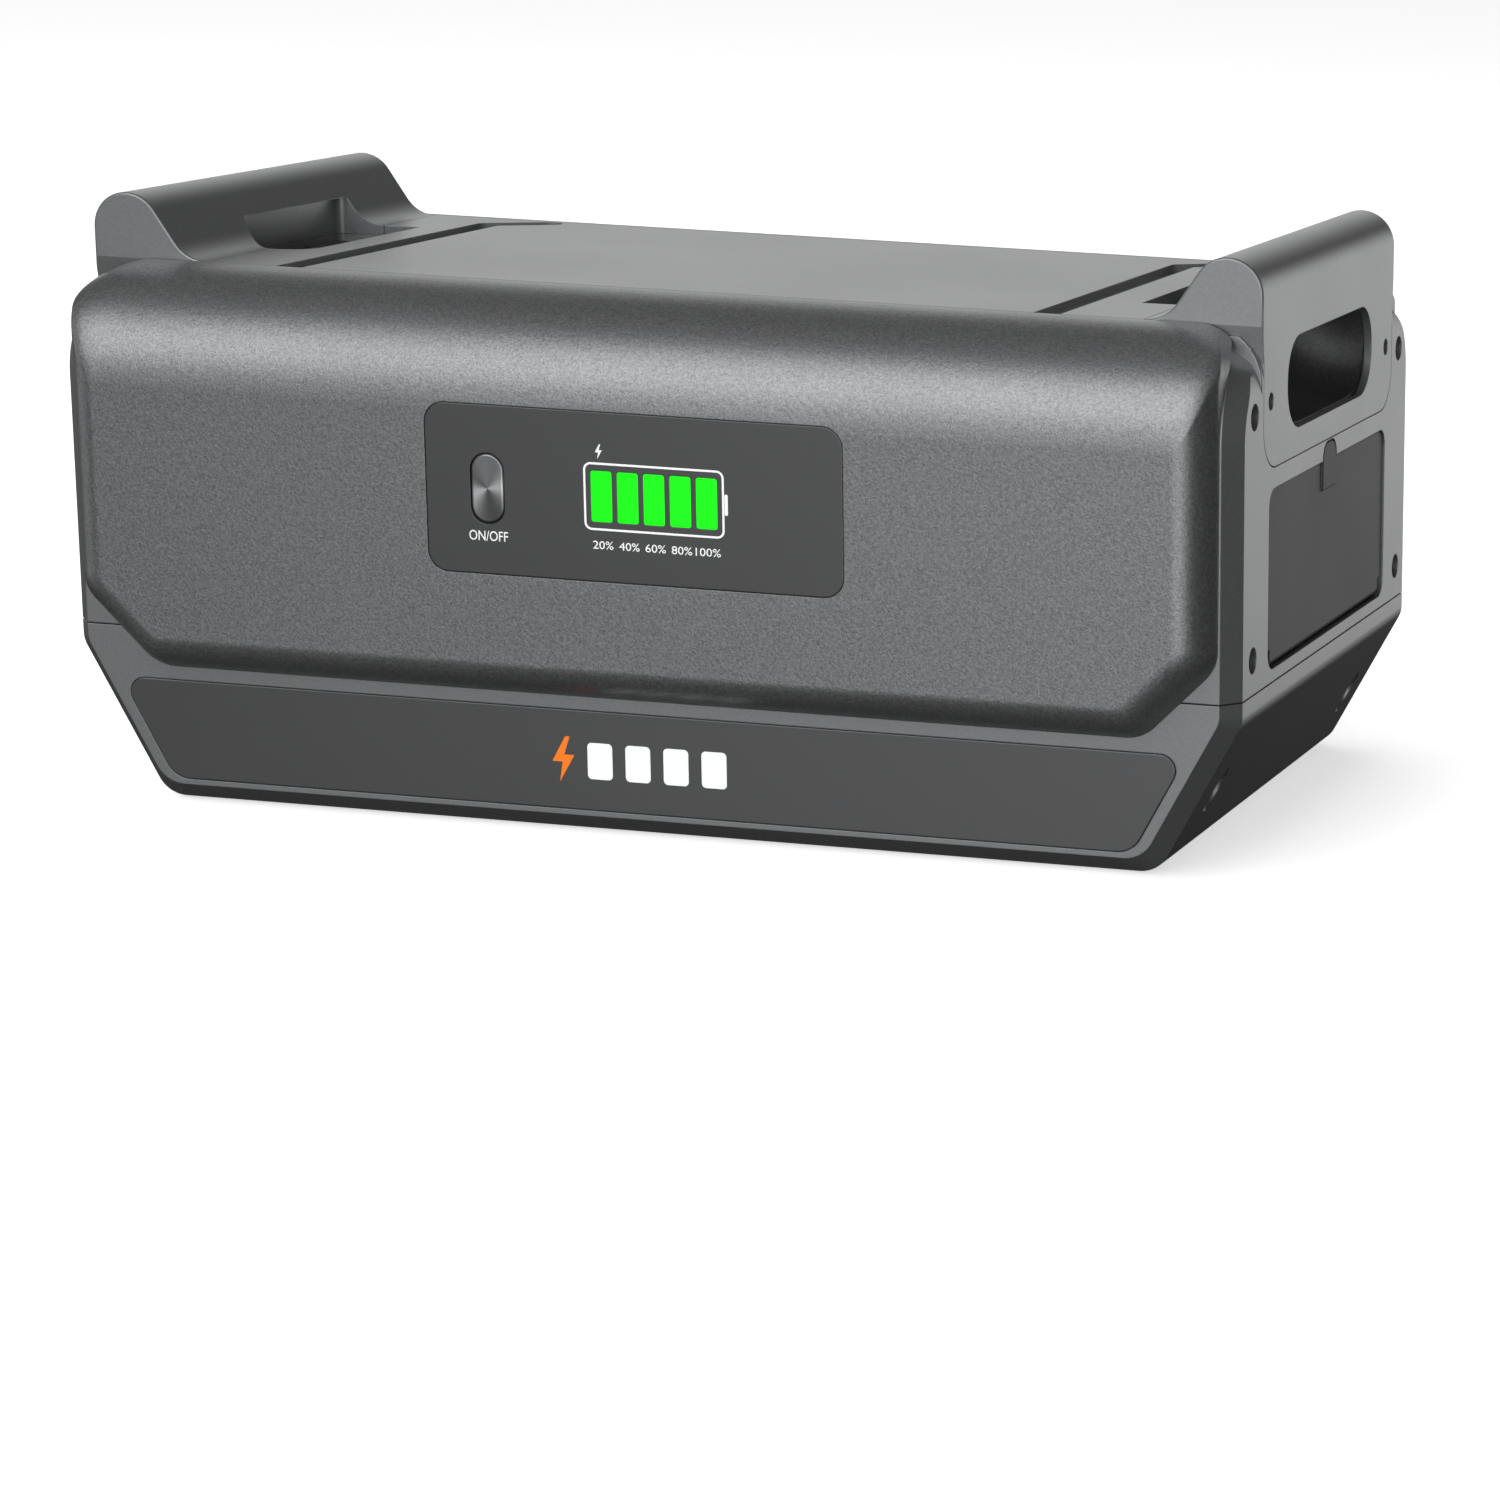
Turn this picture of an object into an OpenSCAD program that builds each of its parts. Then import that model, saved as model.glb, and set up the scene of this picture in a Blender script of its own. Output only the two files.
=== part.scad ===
// Stackable expansion battery: a two-part case with padded front and back covers,
// two arch handles, a lit charge display, and a side door over the expansion sockets.
// Frame: +X right, -Y front, +Z up; the origin is the centre of the footprint on the ground.

/* [Case] */
// Width over the side planes
body_w = 442; // [438:1:448]
// Depth between the front and back planes of the shell
shell_d = 240; // [238:1:244]
// Height of the top deck
top_z = 197.5; // [196:0.5:200]
// Height of the joint line between base and upper shell
split_z = 66; // [64:1:68]
// Height of the knee where the sides start to slope inwards
knee_z = 58; // [54:1:60]
// Half width of the underside at ground level
foot_hw = 189.6; // [186:0.2:192]
// Wall of the moulded shells
wall = 3; // [2.8:0.1:3.2]
// How far the padded covers stand proud of the shell planes
cover_proud = 13.5; // [13:0.5:14]

/* [Handles] */
// Height of the handle ridge
ridge_z = 221; // [219:1:224]
// Half length of a handle along the depth
handle_hl = 89; // [87:1:90]
// Half length of the hand opening at the deck
grip_hl = 47; // [40:1:50]

/* [Display] */
// Width of the display lens
lens_w = 155.4; // [150:0.2:158]
// Height of the display lens
lens_h = 60.8; // [59:0.2:62]
// Travel of the power button
press_travel = 1.5; // [1:0.1:1.5]

/* [Port door] */
// Half width of the door
door_hw = 80.8; // [78:0.2:82]
// Height of the door's lower edge
door_z0 = 71.2; // [71:0.1:72]
// Height of the door's upper edge
door_z1 = 136.9; // [134:0.1:138]

/* [Battery] */
// Thickness of one prismatic cell
cell_t = 27; // [26:0.1:27]
// Width of one prismatic cell
cell_w = 148; // [140:1:148]
// Height of one prismatic cell
cell_h = 98; // [90:1:98]
// Cells in each of the two rows
cells_per_row = 8; // [6:1:8]

/* [Hidden] */
$fn = 48;
e = 0.01;

half_w = body_w / 2;
half_d = shell_d / 2;
cover_y = half_d + cover_proud;
base_z = 1.5;
seam = 0.3;

// The bevel between the front plane and the side planes
bevel_x = 6.3;
bevel_y = 7.6;

// The covers roll over the top edges of the core and end at a seam beside the deck
core_top = top_z - 4.9;
core_roll = 35.6;
cover_roll = 41.5;
seam_y = cover_y - cover_roll;
deck_hl = seam_y - seam;
top_corner_r = 28;
deck_t = 5.5;
slant = (half_w - foot_hw) / knee_z;
slant_cos = cos(atan(slant));

cover_hw = half_w - 8;
cover_z0 = 52;
cover_chamfer = 27;
cover_edge = 8;

// Foot pads
pad_x = 160;
pad_y = 92;
pad_r = 12;
pad_h = 2.4;

// Handles
bracket_t = 12;
bracket_z0 = 145;
bracket_x = half_w - bracket_t;
ridge_r = 13;
flank_deg = 56;
flank_r = 14;
foot_t = 4;
fit = 0.15;
grip_z = 188;
grip_top = ridge_z - 13;
scoop_r = 48;
scoop_t = 2.5;
scoop_hl = 58;
scoop_x = half_w - 10;
scoop_z = top_z + 5.5;
hand_x = scoop_x - scoop_r + 1;

// Screws
case_screw_y = 100.2;
case_screw_z = [78.8, 166.3];
case_recess_r = 4.8;
case_recess_d = 16;
lug_x = half_w - 27;
lug_w = 10;
lug_h = 13;
handle_screw_y = 79.9;
handle_screw_z = 169.3;
handle_recess_r = 3.2;
base_screw_x = half_w - 16.2;
base_screw_y = 90;
base_recess_r = 4.5;
base_boss_z = 49;

// Display
lens_x = 3.85;
lens_z = 128;
lens_t = 1.2;
lens_r = 7.5;
face_y = -cover_y;
button_x = -50.8;
button_z = 128.4;
button_w = 12.1;
button_h = 25;
bar_w = 7.8;
bar_h = 18.2;
bar_pitch = 9.8;
bar_x0 = -8;
bar_z = 128.3;
window_w = 132;
window_h = 44;
board_y = -123.5;
board_t = 1.6;
board_screw_dx = 72;
board_screw_dz = 25;
cable_x = 20;
cable_hole_r = 7;

// Port bay
door_t = 3;
door_face_x = half_w - 0.8;
hinge_r = 3;
hinge_x = door_face_x - hinge_r;
hinge_z = door_z0 + hinge_r;
pin_r = 1.2;
running = 0.05;
tab_hw = 9.3;
tab_top = 143.8;
tab_bottom = 125.7;
tray_x0 = 176;
tray_x1 = 216.7;
tray_z0 = 78;
tray_z1 = 134.5;
tray_hw = 79;
flange_hw = door_hw + 1.2;
ear_t = 3.2;
socket_y = 32;
socket_z = 105;
socket_back = 12;
socket_pitch = 14;
contact_gap = 9;

// Battery
row_gap = 2;
cell_gap = 0.4;
cell_z0 = 9;
pack_hl = cells_per_row * cell_t / 2;
cell_top = cell_z0 + cell_h;
terminal_share = [0.22, 0.78];
bms_t = 1.6;
bms_z = cell_top + 14.2;
bms_top = bms_z + bms_t + 0.1;
bms_hole = [100, 50];

// ---------- helpers ----------

function unit(v) = v / norm(v);
function wrap(a) = a > 180 ? a - 360 : a < -180 ? a + 360 : a;
function arc(centre, r, a0, a1, steps = 10) =
    [for (i = [0:steps]) centre + r * [cos(a0 + (a1 - a0) * i / steps), sin(a0 + (a1 - a0) * i / steps)]];

// Arc of radius r that rounds the corner q between its neighbours p and s
function corner_arc(p, q, s, r, steps) =
    let (a = unit(p - q), b = unit(s - q), half = acos(a * b) / 2)
    let (centre = q + unit(a + b) * r / sin(half))
    let (from = q + a * r / tan(half) - centre, to = q + b * r / tan(half) - centre)
    let (a0 = atan2(from.y, from.x), sweep = wrap(atan2(to.y, to.x) - a0))
    arc(centre, r, a0, a0 + sweep, steps);

// Outline through corners given as [x, y, radius]
function rounded(pts, steps = 6) =
    let (n = len(pts), xy = [for (p = pts) [p.x, p.y]])
    [for (i = [0:n - 1]) each pts[i].z == 0 ? [xy[i]]
        : corner_arc(xy[(i + n - 1) % n], xy[i], xy[(i + 1) % n], pts[i].z, steps)];

// A drawing in the XZ plane, run along Y; and one in the YZ plane, run along X
module along_y(y0, y1) { translate([0, y1, 0]) rotate([90, 0, 0]) linear_extrude(y1 - y0) children(); }
module along_x(x0, x1) { translate([x0, 0, 0]) rotate([90, 0, 90]) linear_extrude(x1 - x0) children(); }

module rod_x(r, x0, x1, y, z) { translate([x0, y, z]) rotate([0, 90, 0]) cylinder(r = r, h = x1 - x0); }
module rod_y(r, x, y0, y1, z) { translate([x, y0, z]) rotate([-90, 0, 0]) cylinder(r = r, h = y1 - y0); }
module rod_z(r, x, y, z0, z1) { translate([x, y, z0]) cylinder(r = r, h = z1 - z0); }
module block(x, y, z) { translate([x[0], y[0], z[0]]) cube([x[1] - x[0], y[1] - y[0], z[1] - z[0]]); }

module both_sides() { children(); mirror([1, 0, 0]) children(); }
module four_corners() { both_sides() { children(); mirror([0, 1, 0]) children(); } }

module pill(w, h) {
    square([w, h - w], center = true);
    for (side = [-1, 1]) translate([0, side * (h - w) / 2]) circle(d = w);
}

module rounded_rect(w, h, r) {
    polygon(rounded([[-w / 2, -h / 2, r], [w / 2, -h / 2, r], [w / 2, h / 2, r], [-w / 2, h / 2, r]]));
}

// ---------- case outlines ----------

// Half width of the sloping side at height z, moved in by i
function slope_x(z, i) = foot_hw + slant * z - i / slant_cos;
function knee_at(i) = (half_w - i - foot_hw + i / slant_cos) / slant;

function mirrored(right) = concat(right, [for (i = [len(right) - 1:-1:0]) [-right[i].x, right[i].y, right[i].z]]);

// Front view of the case, moved in by i
function case_outline(i, roof) = rounded(mirrored([
    [slope_x(base_z + i, i), base_z + i, 12],
    [half_w - i, knee_at(i), 10],
    [half_w - i, roof - i, top_corner_r - i]]));

// Side view of the core's front, top and back, moved in by i
function core_side(i) = rounded([
    [-half_d + i, -e, 0], [half_d - i, -e, 0],
    [half_d - i, core_top - i, core_roll - i], [-half_d + i, core_top - i, core_roll - i]]);

// Core of the case, moved in by i: a bevel joins its side planes to its front, top and back
module core(i) {
    hull() {
        intersection() {
            along_y(-half_d, half_d) polygon(case_outline(bevel_x + i, core_top + bevel_x));
            along_x(-half_w, half_w) polygon(core_side(i));
        }
        intersection() {
            along_y(-half_d, half_d) polygon(case_outline(i, core_top));
            along_x(-half_w, half_w) polygon(core_side(bevel_y + i));
        }
    }
}

// Raised deck between the two cover seams, moved in by i on the sides and d from above
module deck(i, d, y) {
    along_y(-y, y) intersection() {
        polygon(case_outline(i, top_z));
        translate([-half_w, core_top - 30]) square([body_w, top_z - d - core_top + 30]);
    }
}

// ---------- case ----------

module base_screw_boss(r, z0, z1) { four_corners() rod_z(r, base_screw_x, base_screw_y, z0, z1); }

module base_shell() {
    color([0.42, 0.43, 0.44])
    difference() {
        union() {
            difference() {
                core(0);
                core(wall);
            }
            intersection() {
                core(0);
                base_screw_boss(6.5, base_z, base_boss_z);
            }
        }
        block([-half_w - 1, half_w + 1], [-half_d - 1, half_d + 1], [split_z - 0.2, ridge_z]);
        base_screw_boss(base_recess_r, base_z - 1, base_boss_z - wall);
        base_screw_boss(2.2, base_z, base_boss_z + 1);
        pad_places() translate([0, 0, -1]) cylinder(r = pad_r + 0.1, h = pad_h + 1.1);
        name_plate_solid(0.15);
    }
}

// The hand opening seen from the side
module bracket_opening(grow) {
    polygon(rounded(mirrored([[47 + grow, 154.5 - grow, 9], [58 + grow, 170, 14], [40 + grow, grip_z + grow, 9]])));
}

module hand_opening(side) {
    mirror([side < 0 ? 1 : 0, 0, 0]) {
        along_x(scoop_x - 9, half_w + 2) bracket_opening(0);
        block([hand_x, half_w - 8], [-grip_hl, grip_hl], [170, top_z + 1]);
    }
}

module handle_seat() {
    both_sides() intersection() {
        union() {
            block([bracket_x - wall, half_w], [-deck_hl, deck_hl], [bracket_z0 - wall, top_z]);
            block([hand_x - 4, half_w], [-deck_hl, deck_hl], [top_z - foot_t - wall, top_z]);
        }
        union() {
            core(0);
            deck(0, 0, deck_hl);
        }
    }
}

// Pocket that the handle's bracket and foot drop into
module handle_pocket() {
    both_sides() {
        along_x(bracket_x, half_w + 1) bracket_outline(fit);
        block([flank_foot_x() - fit, half_w + 1], [-handle_hl - fit, handle_hl + fit],
              [top_z - foot_t - fit, top_z + 1]);
    }
}

// A straight groove from the front seam that turns towards the right near the back
module deck_groove(x) {
    width = 10;
    bend_y = 70;
    bend_deg = 52;
    tail = 24;
    band = [-width / 2, width / 2];
    translate([x, bend_y, top_z - 3]) {
        block(band, [-deck_hl - 1 - bend_y, 0], [0, 4]);
        cylinder(d = width, h = 4);
        rotate(-bend_deg) {
            block(band, [0, tail], [0, 4]);
            translate([0, tail, 0]) cylinder(d = width, h = 4);
        }
    }
}

module case_screw_places() {
    four_corners() for (z = case_screw_z) translate([half_w, case_screw_y, z]) rotate([0, -90, 0]) children();
}

module handle_screw_places() {
    four_corners() translate([half_w, handle_screw_y, handle_screw_z]) rotate([0, -90, 0]) children();
}

// Square windows in the shell planes for the lugs of the covers
module lug_places(grow) {
    for (x = [-1, 1], z = case_screw_z)
        translate([x * lug_x, 0, z]) cube([lug_w + grow, shell_d + 2, lug_h + grow], center = true);
}

module door_opening() {
    along_x(half_w - 8, half_w + 1) {
        translate([0, (door_z0 + door_z1) / 2])
            rounded_rect(2 * (door_hw + seam), door_z1 - door_z0 + 2 * seam, 7);
        translate([0, tab_bottom]) square([2 * (tab_hw + seam), 2 * (tab_top - tab_bottom - 6)], center = true);
        translate([0, tab_top - 6]) rounded_rect(2 * (tab_hw + seam), 12 + 2 * seam, 5);
    }
}

module hinge_ears() {
    for (side = [-1, 1])
        translate([half_w - wall - 4, side * (door_hw + 3) - ear_t / 2, hinge_z - 4]) cube([4 + e, ear_t, 8]);
}

module upper_shell() {
    color([0.52, 0.53, 0.54])
    difference() {
        union() {
            difference() {
                union() {
                    core(0);
                    deck(0, 0, deck_hl);
                }
                core(wall);
                deck(wall, deck_t, deck_hl - wall);
            }
            handle_seat();
            intersection() {
                core(0);
                case_screw_places() cylinder(r = 7, h = case_recess_d + wall);
            }
            handle_screw_places() translate([0, 0, bracket_t]) cylinder(r = 4.5, h = 10);
            base_screw_boss(4.5, base_boss_z + 0.3, split_z + 20);
            hinge_ears();
        }
        difference() {
            block([-half_w - 1, half_w + 1], [-half_d - 1, half_d + 1], [-1, split_z + 0.2]);
            base_screw_boss(4.6, base_boss_z, split_z + 1);
        }
        handle_pocket();
        for (side = [-1, 1]) hand_opening(side);
        deck_groove(142);
        deck_groove(-145);
        case_screw_places() translate([0, 0, -1]) cylinder(r = case_recess_r, h = case_recess_d + 1);
        case_screw_places() cylinder(r = 2.2, h = case_recess_d + wall + 1);
        handle_screw_places() cylinder(r = 1.7, h = bracket_t + 9);
        base_screw_boss(1.7, base_boss_z, split_z + 16);
        lug_places(0.4);
        door_opening();
        rod_y(pin_r + running, hinge_x, -door_hw - 4, door_hw + 4, hinge_z);
        rod_y(cable_hole_r, cable_x, -half_d - 1, -half_d + wall + 1, lens_z);
    }
}

// Front view of the padded cover, moved in by i
function cover_outline(i) = rounded(mirrored([
    [cover_hw - cover_chamfer - 0.41 * i, cover_z0 + i, 15],
    [cover_hw - i, cover_z0 + cover_chamfer + 0.41 * i, 15],
    [cover_hw - i, top_z - i, top_corner_r - 8]]));

// Side view of a cover's outer face, which rolls over the top edge, moved in by i
function cover_side(i) = concat(
    [[-seam_y, cover_z0 - 10]],
    arc([-seam_y, top_z - cover_roll], cover_roll - i, 90, 180, 16),
    [[-cover_y + i, cover_z0 - 10]]);

// Side view of the core's front with the seam around it
function core_front() = concat(
    [[-half_d - seam, 0]],
    arc([-half_d + core_roll, core_top - core_roll], core_roll + seam, 180, 90, 16),
    [[0, core_top + seam], [0, 0]]);

module cover_pad(i) {
    intersection() {
        hull() {
            along_y(-half_d - cover_proud / 2, -seam_y) polygon(cover_outline(i));
            along_y(-cover_y, -seam_y) polygon(cover_outline(cover_edge + i));
        }
        along_x(-half_w, half_w) difference() {
            polygon(cover_side(i));
            polygon(core_front());
        }
    }
}

module cover_lugs() {
    for (x = [-1, 1], z = case_screw_z)
        translate([x * lug_x - lug_w / 2, -cover_y + wall - e, z - lug_h / 2]) cube([lug_w, cover_proud + 24, lug_h]);
}

module cover_shell() {
    difference() {
        union() {
            difference() {
                cover_pad(0);
                cover_pad(wall);
            }
            cover_lugs();
        }
        case_screw_places() cylinder(r = 1.7, h = 34);
    }
}

module lens_outline(w, h, r) {
    translate([lens_x, lens_z]) rounded_rect(w, h, r);
}

module board_screw_places() {
    for (sx = [-1, 1], sz = [-1, 1]) 
        translate([lens_x + sx * board_screw_dx, 0, lens_z + sz * board_screw_dz]) children();
}

module front_cover() {
    color([0.36, 0.37, 0.38])
    difference() {
        union() {
            cover_shell();
            board_screw_places() rod_y(2.6, 0, face_y + wall - e, board_y - 0.1, 0);
        }
        along_y(face_y - 1, face_y + lens_t + 0.1) lens_outline(lens_w + 2 * fit, lens_h + 2 * fit, lens_r);
        along_y(face_y, face_y + wall + 0.5) lens_outline(window_w, window_h, 4);
        board_screw_places() rod_y(1.15, 0, face_y + wall + 0.5, board_y, 0);
    }
}

module back_cover() {
    color([0.36, 0.37, 0.38])
    mirror([0, 1, 0]) cover_shell();
}

module pad_places() { four_corners() translate([pad_x, pad_y, 0]) children(); }

module foot_pads() {
    color([0.06, 0.06, 0.06])
    pad_places() {
        cylinder(r1 = pad_r - 1, r2 = pad_r, h = 1);
        translate([0, 0, 1]) cylinder(r = pad_r, h = pad_h - 1);
    }
}

module shell_gasket() {
    color([0.05, 0.05, 0.05])
    intersection() {
        difference() {
            core(wall + 0.2);
            core(wall + 2.2);
            lug_places(1);
        }
        block([-half_w, half_w], [-half_d, half_d], [split_z - 3, split_z + 3]);
    }
}

module name_plate_solid(grow) {
    along_y(-half_d - 0.4 - grow, -half_d + 0.6 + grow)
        polygon(rounded(mirrored([[183 + grow, 10 - grow, 10], [203 + grow, 46.9 + grow, 6]])));
}

module name_plate() { color([0.28, 0.29, 0.3]) name_plate_solid(0); }

// ---------- handles ----------

function flank_start() = [half_w - ridge_r, ridge_z - ridge_r] + ridge_r * [-sin(flank_deg), cos(flank_deg)];
function flank_fall() = flank_start().y - top_z - flank_r * (1 - cos(flank_deg));
function flank_foot_x() = flank_start().x - flank_fall() / tan(flank_deg) - flank_r * sin(flank_deg);

module bracket_outline(grow) {
    polygon(rounded([[-handle_hl - grow, bracket_z0 - grow, 16], [handle_hl + grow, bracket_z0 - grow, 16],
        [handle_hl + grow, ridge_z + 1, 0], [-handle_hl - grow, ridge_z + 1, 0]]));
}

// Section of a handle: outer flank, round ridge, and inner flank that runs out along the deck
module handle_section() {
    polygon(concat(
        [[half_w, bracket_z0]],
        arc([half_w - ridge_r, ridge_z - ridge_r], ridge_r, 0, 90 + flank_deg, 14),
        arc([flank_foot_x(), top_z + flank_r], flank_r, flank_deg - 90, -90, 8),
        [[flank_foot_x(), top_z - foot_t], [bracket_x + fit, top_z - foot_t], [bracket_x + fit, bracket_z0]]));
}

// Hand room under the grip bar
module grip_cut() {
    along_x(bracket_x - 12, half_w + 1) bracket_opening(0);
    along_y(-grip_hl, grip_hl) polygon([[half_w + 1, grip_z - 0.5], [half_w - 24, grip_top],
        [half_w - 60, grip_top], [half_w - 60, grip_z - 5], [half_w + 1, grip_z - 5]]);
}

module handle() {
    difference() {
        intersection() {
            along_y(-handle_hl, handle_hl) handle_section();
            along_x(half_w - 60, half_w + 1) bracket_outline(0);
        }
        grip_cut();
        for (side = [-1, 1]) {
            rod_x(handle_recess_r, half_w - 6, half_w + 1, side * handle_screw_y, handle_screw_z);
            rod_x(1.8, half_w - bracket_t - 1, half_w, side * handle_screw_y, handle_screw_z);
        }
    }
}

module right_handle() { color([0.52, 0.53, 0.54]) handle(); }
module left_handle() { color([0.52, 0.53, 0.54]) mirror([1, 0, 0]) handle(); }

// Curved pocket behind a hand opening
module scoop_section(r) {
    intersection() {
        translate([scoop_x, scoop_z]) circle(r = r);
        polygon([[0, 0], [bracket_x - wall - 0.2, 0], [bracket_x - wall - 0.2, top_z - foot_t - wall - 0.2],
            [0, top_z - foot_t - wall - 0.2]]);
    }
}

module grip_scoop() {
    difference() {
        along_y(-scoop_hl - scoop_t, scoop_hl + scoop_t) scoop_section(scoop_r + scoop_t);
        along_y(-scoop_hl, scoop_hl) scoop_section(scoop_r);
    }
}

module right_grip_scoop() { color([0.2, 0.2, 0.21]) grip_scoop(); }
module left_grip_scoop() { color([0.2, 0.2, 0.21]) mirror([1, 0, 0]) grip_scoop(); }

// ---------- fasteners ----------

// Socket-head screw that points along +Z from the origin at the top of its head
module screw(head_r, head_h, shank_r, shank_l) {
    difference() {
        union() {
            cylinder(r = head_r, h = head_h);
            cylinder(r = shank_r, h = head_h + shank_l);
        }
        translate([0, 0, -e]) cylinder(r = head_r * 0.45, h = head_h * 0.6, $fn = 6);
    }
}

module handle_screws() {
    color([0.3, 0.3, 0.31])
    handle_screw_places() translate([0, 0, 3]) screw(2.9, 2.9, 1.5, 13);
}

module case_screws() {
    color([0.1, 0.1, 0.1])
    case_screw_places() translate([0, 0, case_recess_d - 4]) screw(3.9, 3.9, 1.5, 16);
}

module base_screws() {
    color([0.1, 0.1, 0.1])
    four_corners() translate([base_screw_x, base_screw_y, base_boss_z - wall - 4]) screw(3.8, 3.9, 1.5, 28);
}

// ---------- display ----------

module bar_places() {
    for (i = [0:4]) translate([bar_x0 + i * bar_pitch, bar_z]) children();
}

module display_lens() {
    color([0.2, 0.21, 0.22])
    along_y(face_y, face_y + lens_t) difference() {
        lens_outline(lens_w, lens_h, lens_r);
        translate([button_x, button_z]) pill(button_w + 0.6, button_h + 0.6);
        bar_places() rounded_rect(bar_w + 0.2, bar_h + 0.2, 1);
    }
}

module power_button() {
    color([0.75, 0.76, 0.78])
    translate([button_x, 0, button_z]) {
        along_y(face_y, face_y + 3) pill(button_w, button_h);
        along_y(face_y + lens_t + 0.2, face_y + lens_t + 1.7) pill(button_w + 3, button_h + 3);
        along_y(face_y + 2.8, face_y + 4.6) pill(5, 8);
    }
}

module button_guide() {
    color([0.1, 0.1, 0.1])
    translate([button_x, 0, button_z]) along_y(face_y + lens_t + 0.1, face_y + 8) difference() {
        pill(button_w + 8, button_h + 8);
        pill(button_w + 3.6, button_h + 3.6);
    }
}

module power_switch() {
    color([0.15, 0.15, 0.16])
    translate([button_x, 0, button_z]) {
        block([-3, 3], [board_y - 2.8, board_y], [-3, 3]);
        rod_y(1.7, 0, face_y + 4.6 + press_travel + 0.1, board_y, 0);
    }
}

module charge_bars() {
    color([0, 1, 0])
    along_y(face_y, face_y + 5.5) bar_places() rounded_rect(bar_w, bar_h, 0.9);
}

module light_guide_holder() {
    color([0.9, 0.9, 0.9])
    along_y(face_y + lens_t + 0.1, face_y + 8) difference() {
        translate([bar_x0 + 2 * bar_pitch, bar_z]) rounded_rect(56, 27, 2);
        bar_places() rounded_rect(bar_w + 0.2, bar_h + 0.2, 1);
    }
}

module display_board() {
    color([0.05, 0.3, 0.12])
    difference() {
        along_y(board_y, board_y + board_t) lens_outline(lens_w - 5, lens_h - 5, 2);
        board_screw_places() rod_y(1.2, 0, board_y - 1, board_y + board_t + 1, 0);
    }
}

module display_leds() {
    color([0.9, 1, 0.9])
    for (i = [0:4], side = [-1, 1])
        translate([bar_x0 + i * bar_pitch, board_y - 0.8, bar_z + side * 5]) cube([3.2, 1.5, 2.8], center = true);
}

module display_screws() {
    color([0.6, 0.6, 0.62])
    board_screw_places() translate([0, board_y + board_t + 1.6, 0]) rotate([90, 0, 0]) screw(2, 1.5, 1, 5.5);
}

// A plug at each end: one behind the display board, one on the battery board
module display_cable() {
    plug = [cable_x - 6, cable_x + 6];
    plug_top = lens_z + 3;
    color([0.08, 0.08, 0.08]) {
        rod_y(2, cable_x, board_y + board_t + 0.2, -52, lens_z);
        block(plug, [board_y + board_t + 0.1, board_y + board_t + 3], [lens_z - 3, plug_top]);
        block(plug, [-56, -46], [bms_top, plug_top]);
    }
}

// ---------- port bay ----------

module door_outline() {
    translate([0, (door_z0 + door_z1) / 2]) rounded_rect(2 * door_hw, door_z1 - door_z0, 7);
}

// The leaf is drawn in beside its barrel, so that its lower corners clear the opening as it swings
module port_door() {
    barrel_hw = door_hw - 5;
    wide_z = hinge_z + half_w - hinge_x + seam;
    leaf_x = [door_face_x - door_t, door_face_x];
    color([0.29, 0.3, 0.31])
    difference() {
        union() {
            intersection() {
                along_x(leaf_x[0], leaf_x[1]) door_outline();
                union() {
                    block(leaf_x, [-door_hw, door_hw], [wide_z, door_z1]);
                    block(leaf_x, [-barrel_hw, barrel_hw], [hinge_z, door_z1]);
                }
            }
            rod_y(hinge_r, hinge_x, -barrel_hw, barrel_hw, hinge_z);
            along_x(half_w - 2.4, half_w) {
                translate([0, (tab_bottom + tab_top - 5) / 2])
                    square([2 * tab_hw, tab_top - tab_bottom - 5], center = true);
                translate([0, tab_top - 6]) rounded_rect(2 * tab_hw, 12, 5);
            }
        }
        rod_y(pin_r + running, hinge_x, -door_hw - 1, door_hw + 1, hinge_z);
    }
}

module door_pin() { color([0.7, 0.7, 0.72]) rod_y(pin_r, hinge_x, -door_hw - 3.8, door_hw + 3.8, hinge_z); }

module socket_places() { for (side = [-1, 1]) translate([0, side * socket_y, socket_z]) children(); }

// Screw places on the four corners of each socket's square flange
module flange_screws() {
    socket_places() for (y = [-1, 1], z = [-1, 1]) translate([0, y * socket_pitch, z * socket_pitch]) children();
}

module port_tray() {
    color([0.16, 0.16, 0.17])
    difference() {
        union() {
            block([tray_x0, tray_x1], [-tray_hw, tray_hw], [tray_z0, tray_z1]);
            block([tray_x1 - 2, tray_x1], [-flange_hw, flange_hw], [tray_z0, bracket_z0 - wall - seam]);
        }
        block([tray_x0 + wall, tray_x1 + 1], [-tray_hw + wall, tray_hw - wall], [tray_z0 + 2, tray_z1 - wall]);
        socket_places() rod_x(12.6, tray_x0 - 1, tray_x0 + wall + 1, 0, 0);
        flange_screws() rod_x(1.7, tray_x0 - 1, tray_x0 + wall + 1, 0, 0);
    }
}

module expansion_sockets() {
    color([0.1, 0.1, 0.1])
    difference() {
        socket_places() {
            rod_x(12.5, tray_x0 - socket_back, tray_x0 + wall + 4, 0, 0);
            along_x(tray_x0 + wall + 0.1, tray_x0 + wall + 2.6) rounded_rect(36, 36, 4);
            rod_x(12, tray_x0 + wall, tray_x0 + wall + 11, 0, 0);
        }
        socket_places() rod_x(9.5, tray_x0 + wall + 1, tray_x0 + wall + 12, 0, 0);
        socket_places() for (side = [-1, 1])
            rod_x(2.1, tray_x0 - 8, tray_x0 + wall + 2, side * contact_gap / 2, 0);
        flange_screws() rod_x(1.7, tray_x0, tray_x0 + wall + 4, 0, 0);
    }
}

module socket_contacts() {
    color([0.8, 0.65, 0.25])
    socket_places() for (side = [-1, 1])
        rod_x(2, tray_x0 - 7.5, tray_x0 + wall + 9, side * contact_gap / 2, 0);
}

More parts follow.
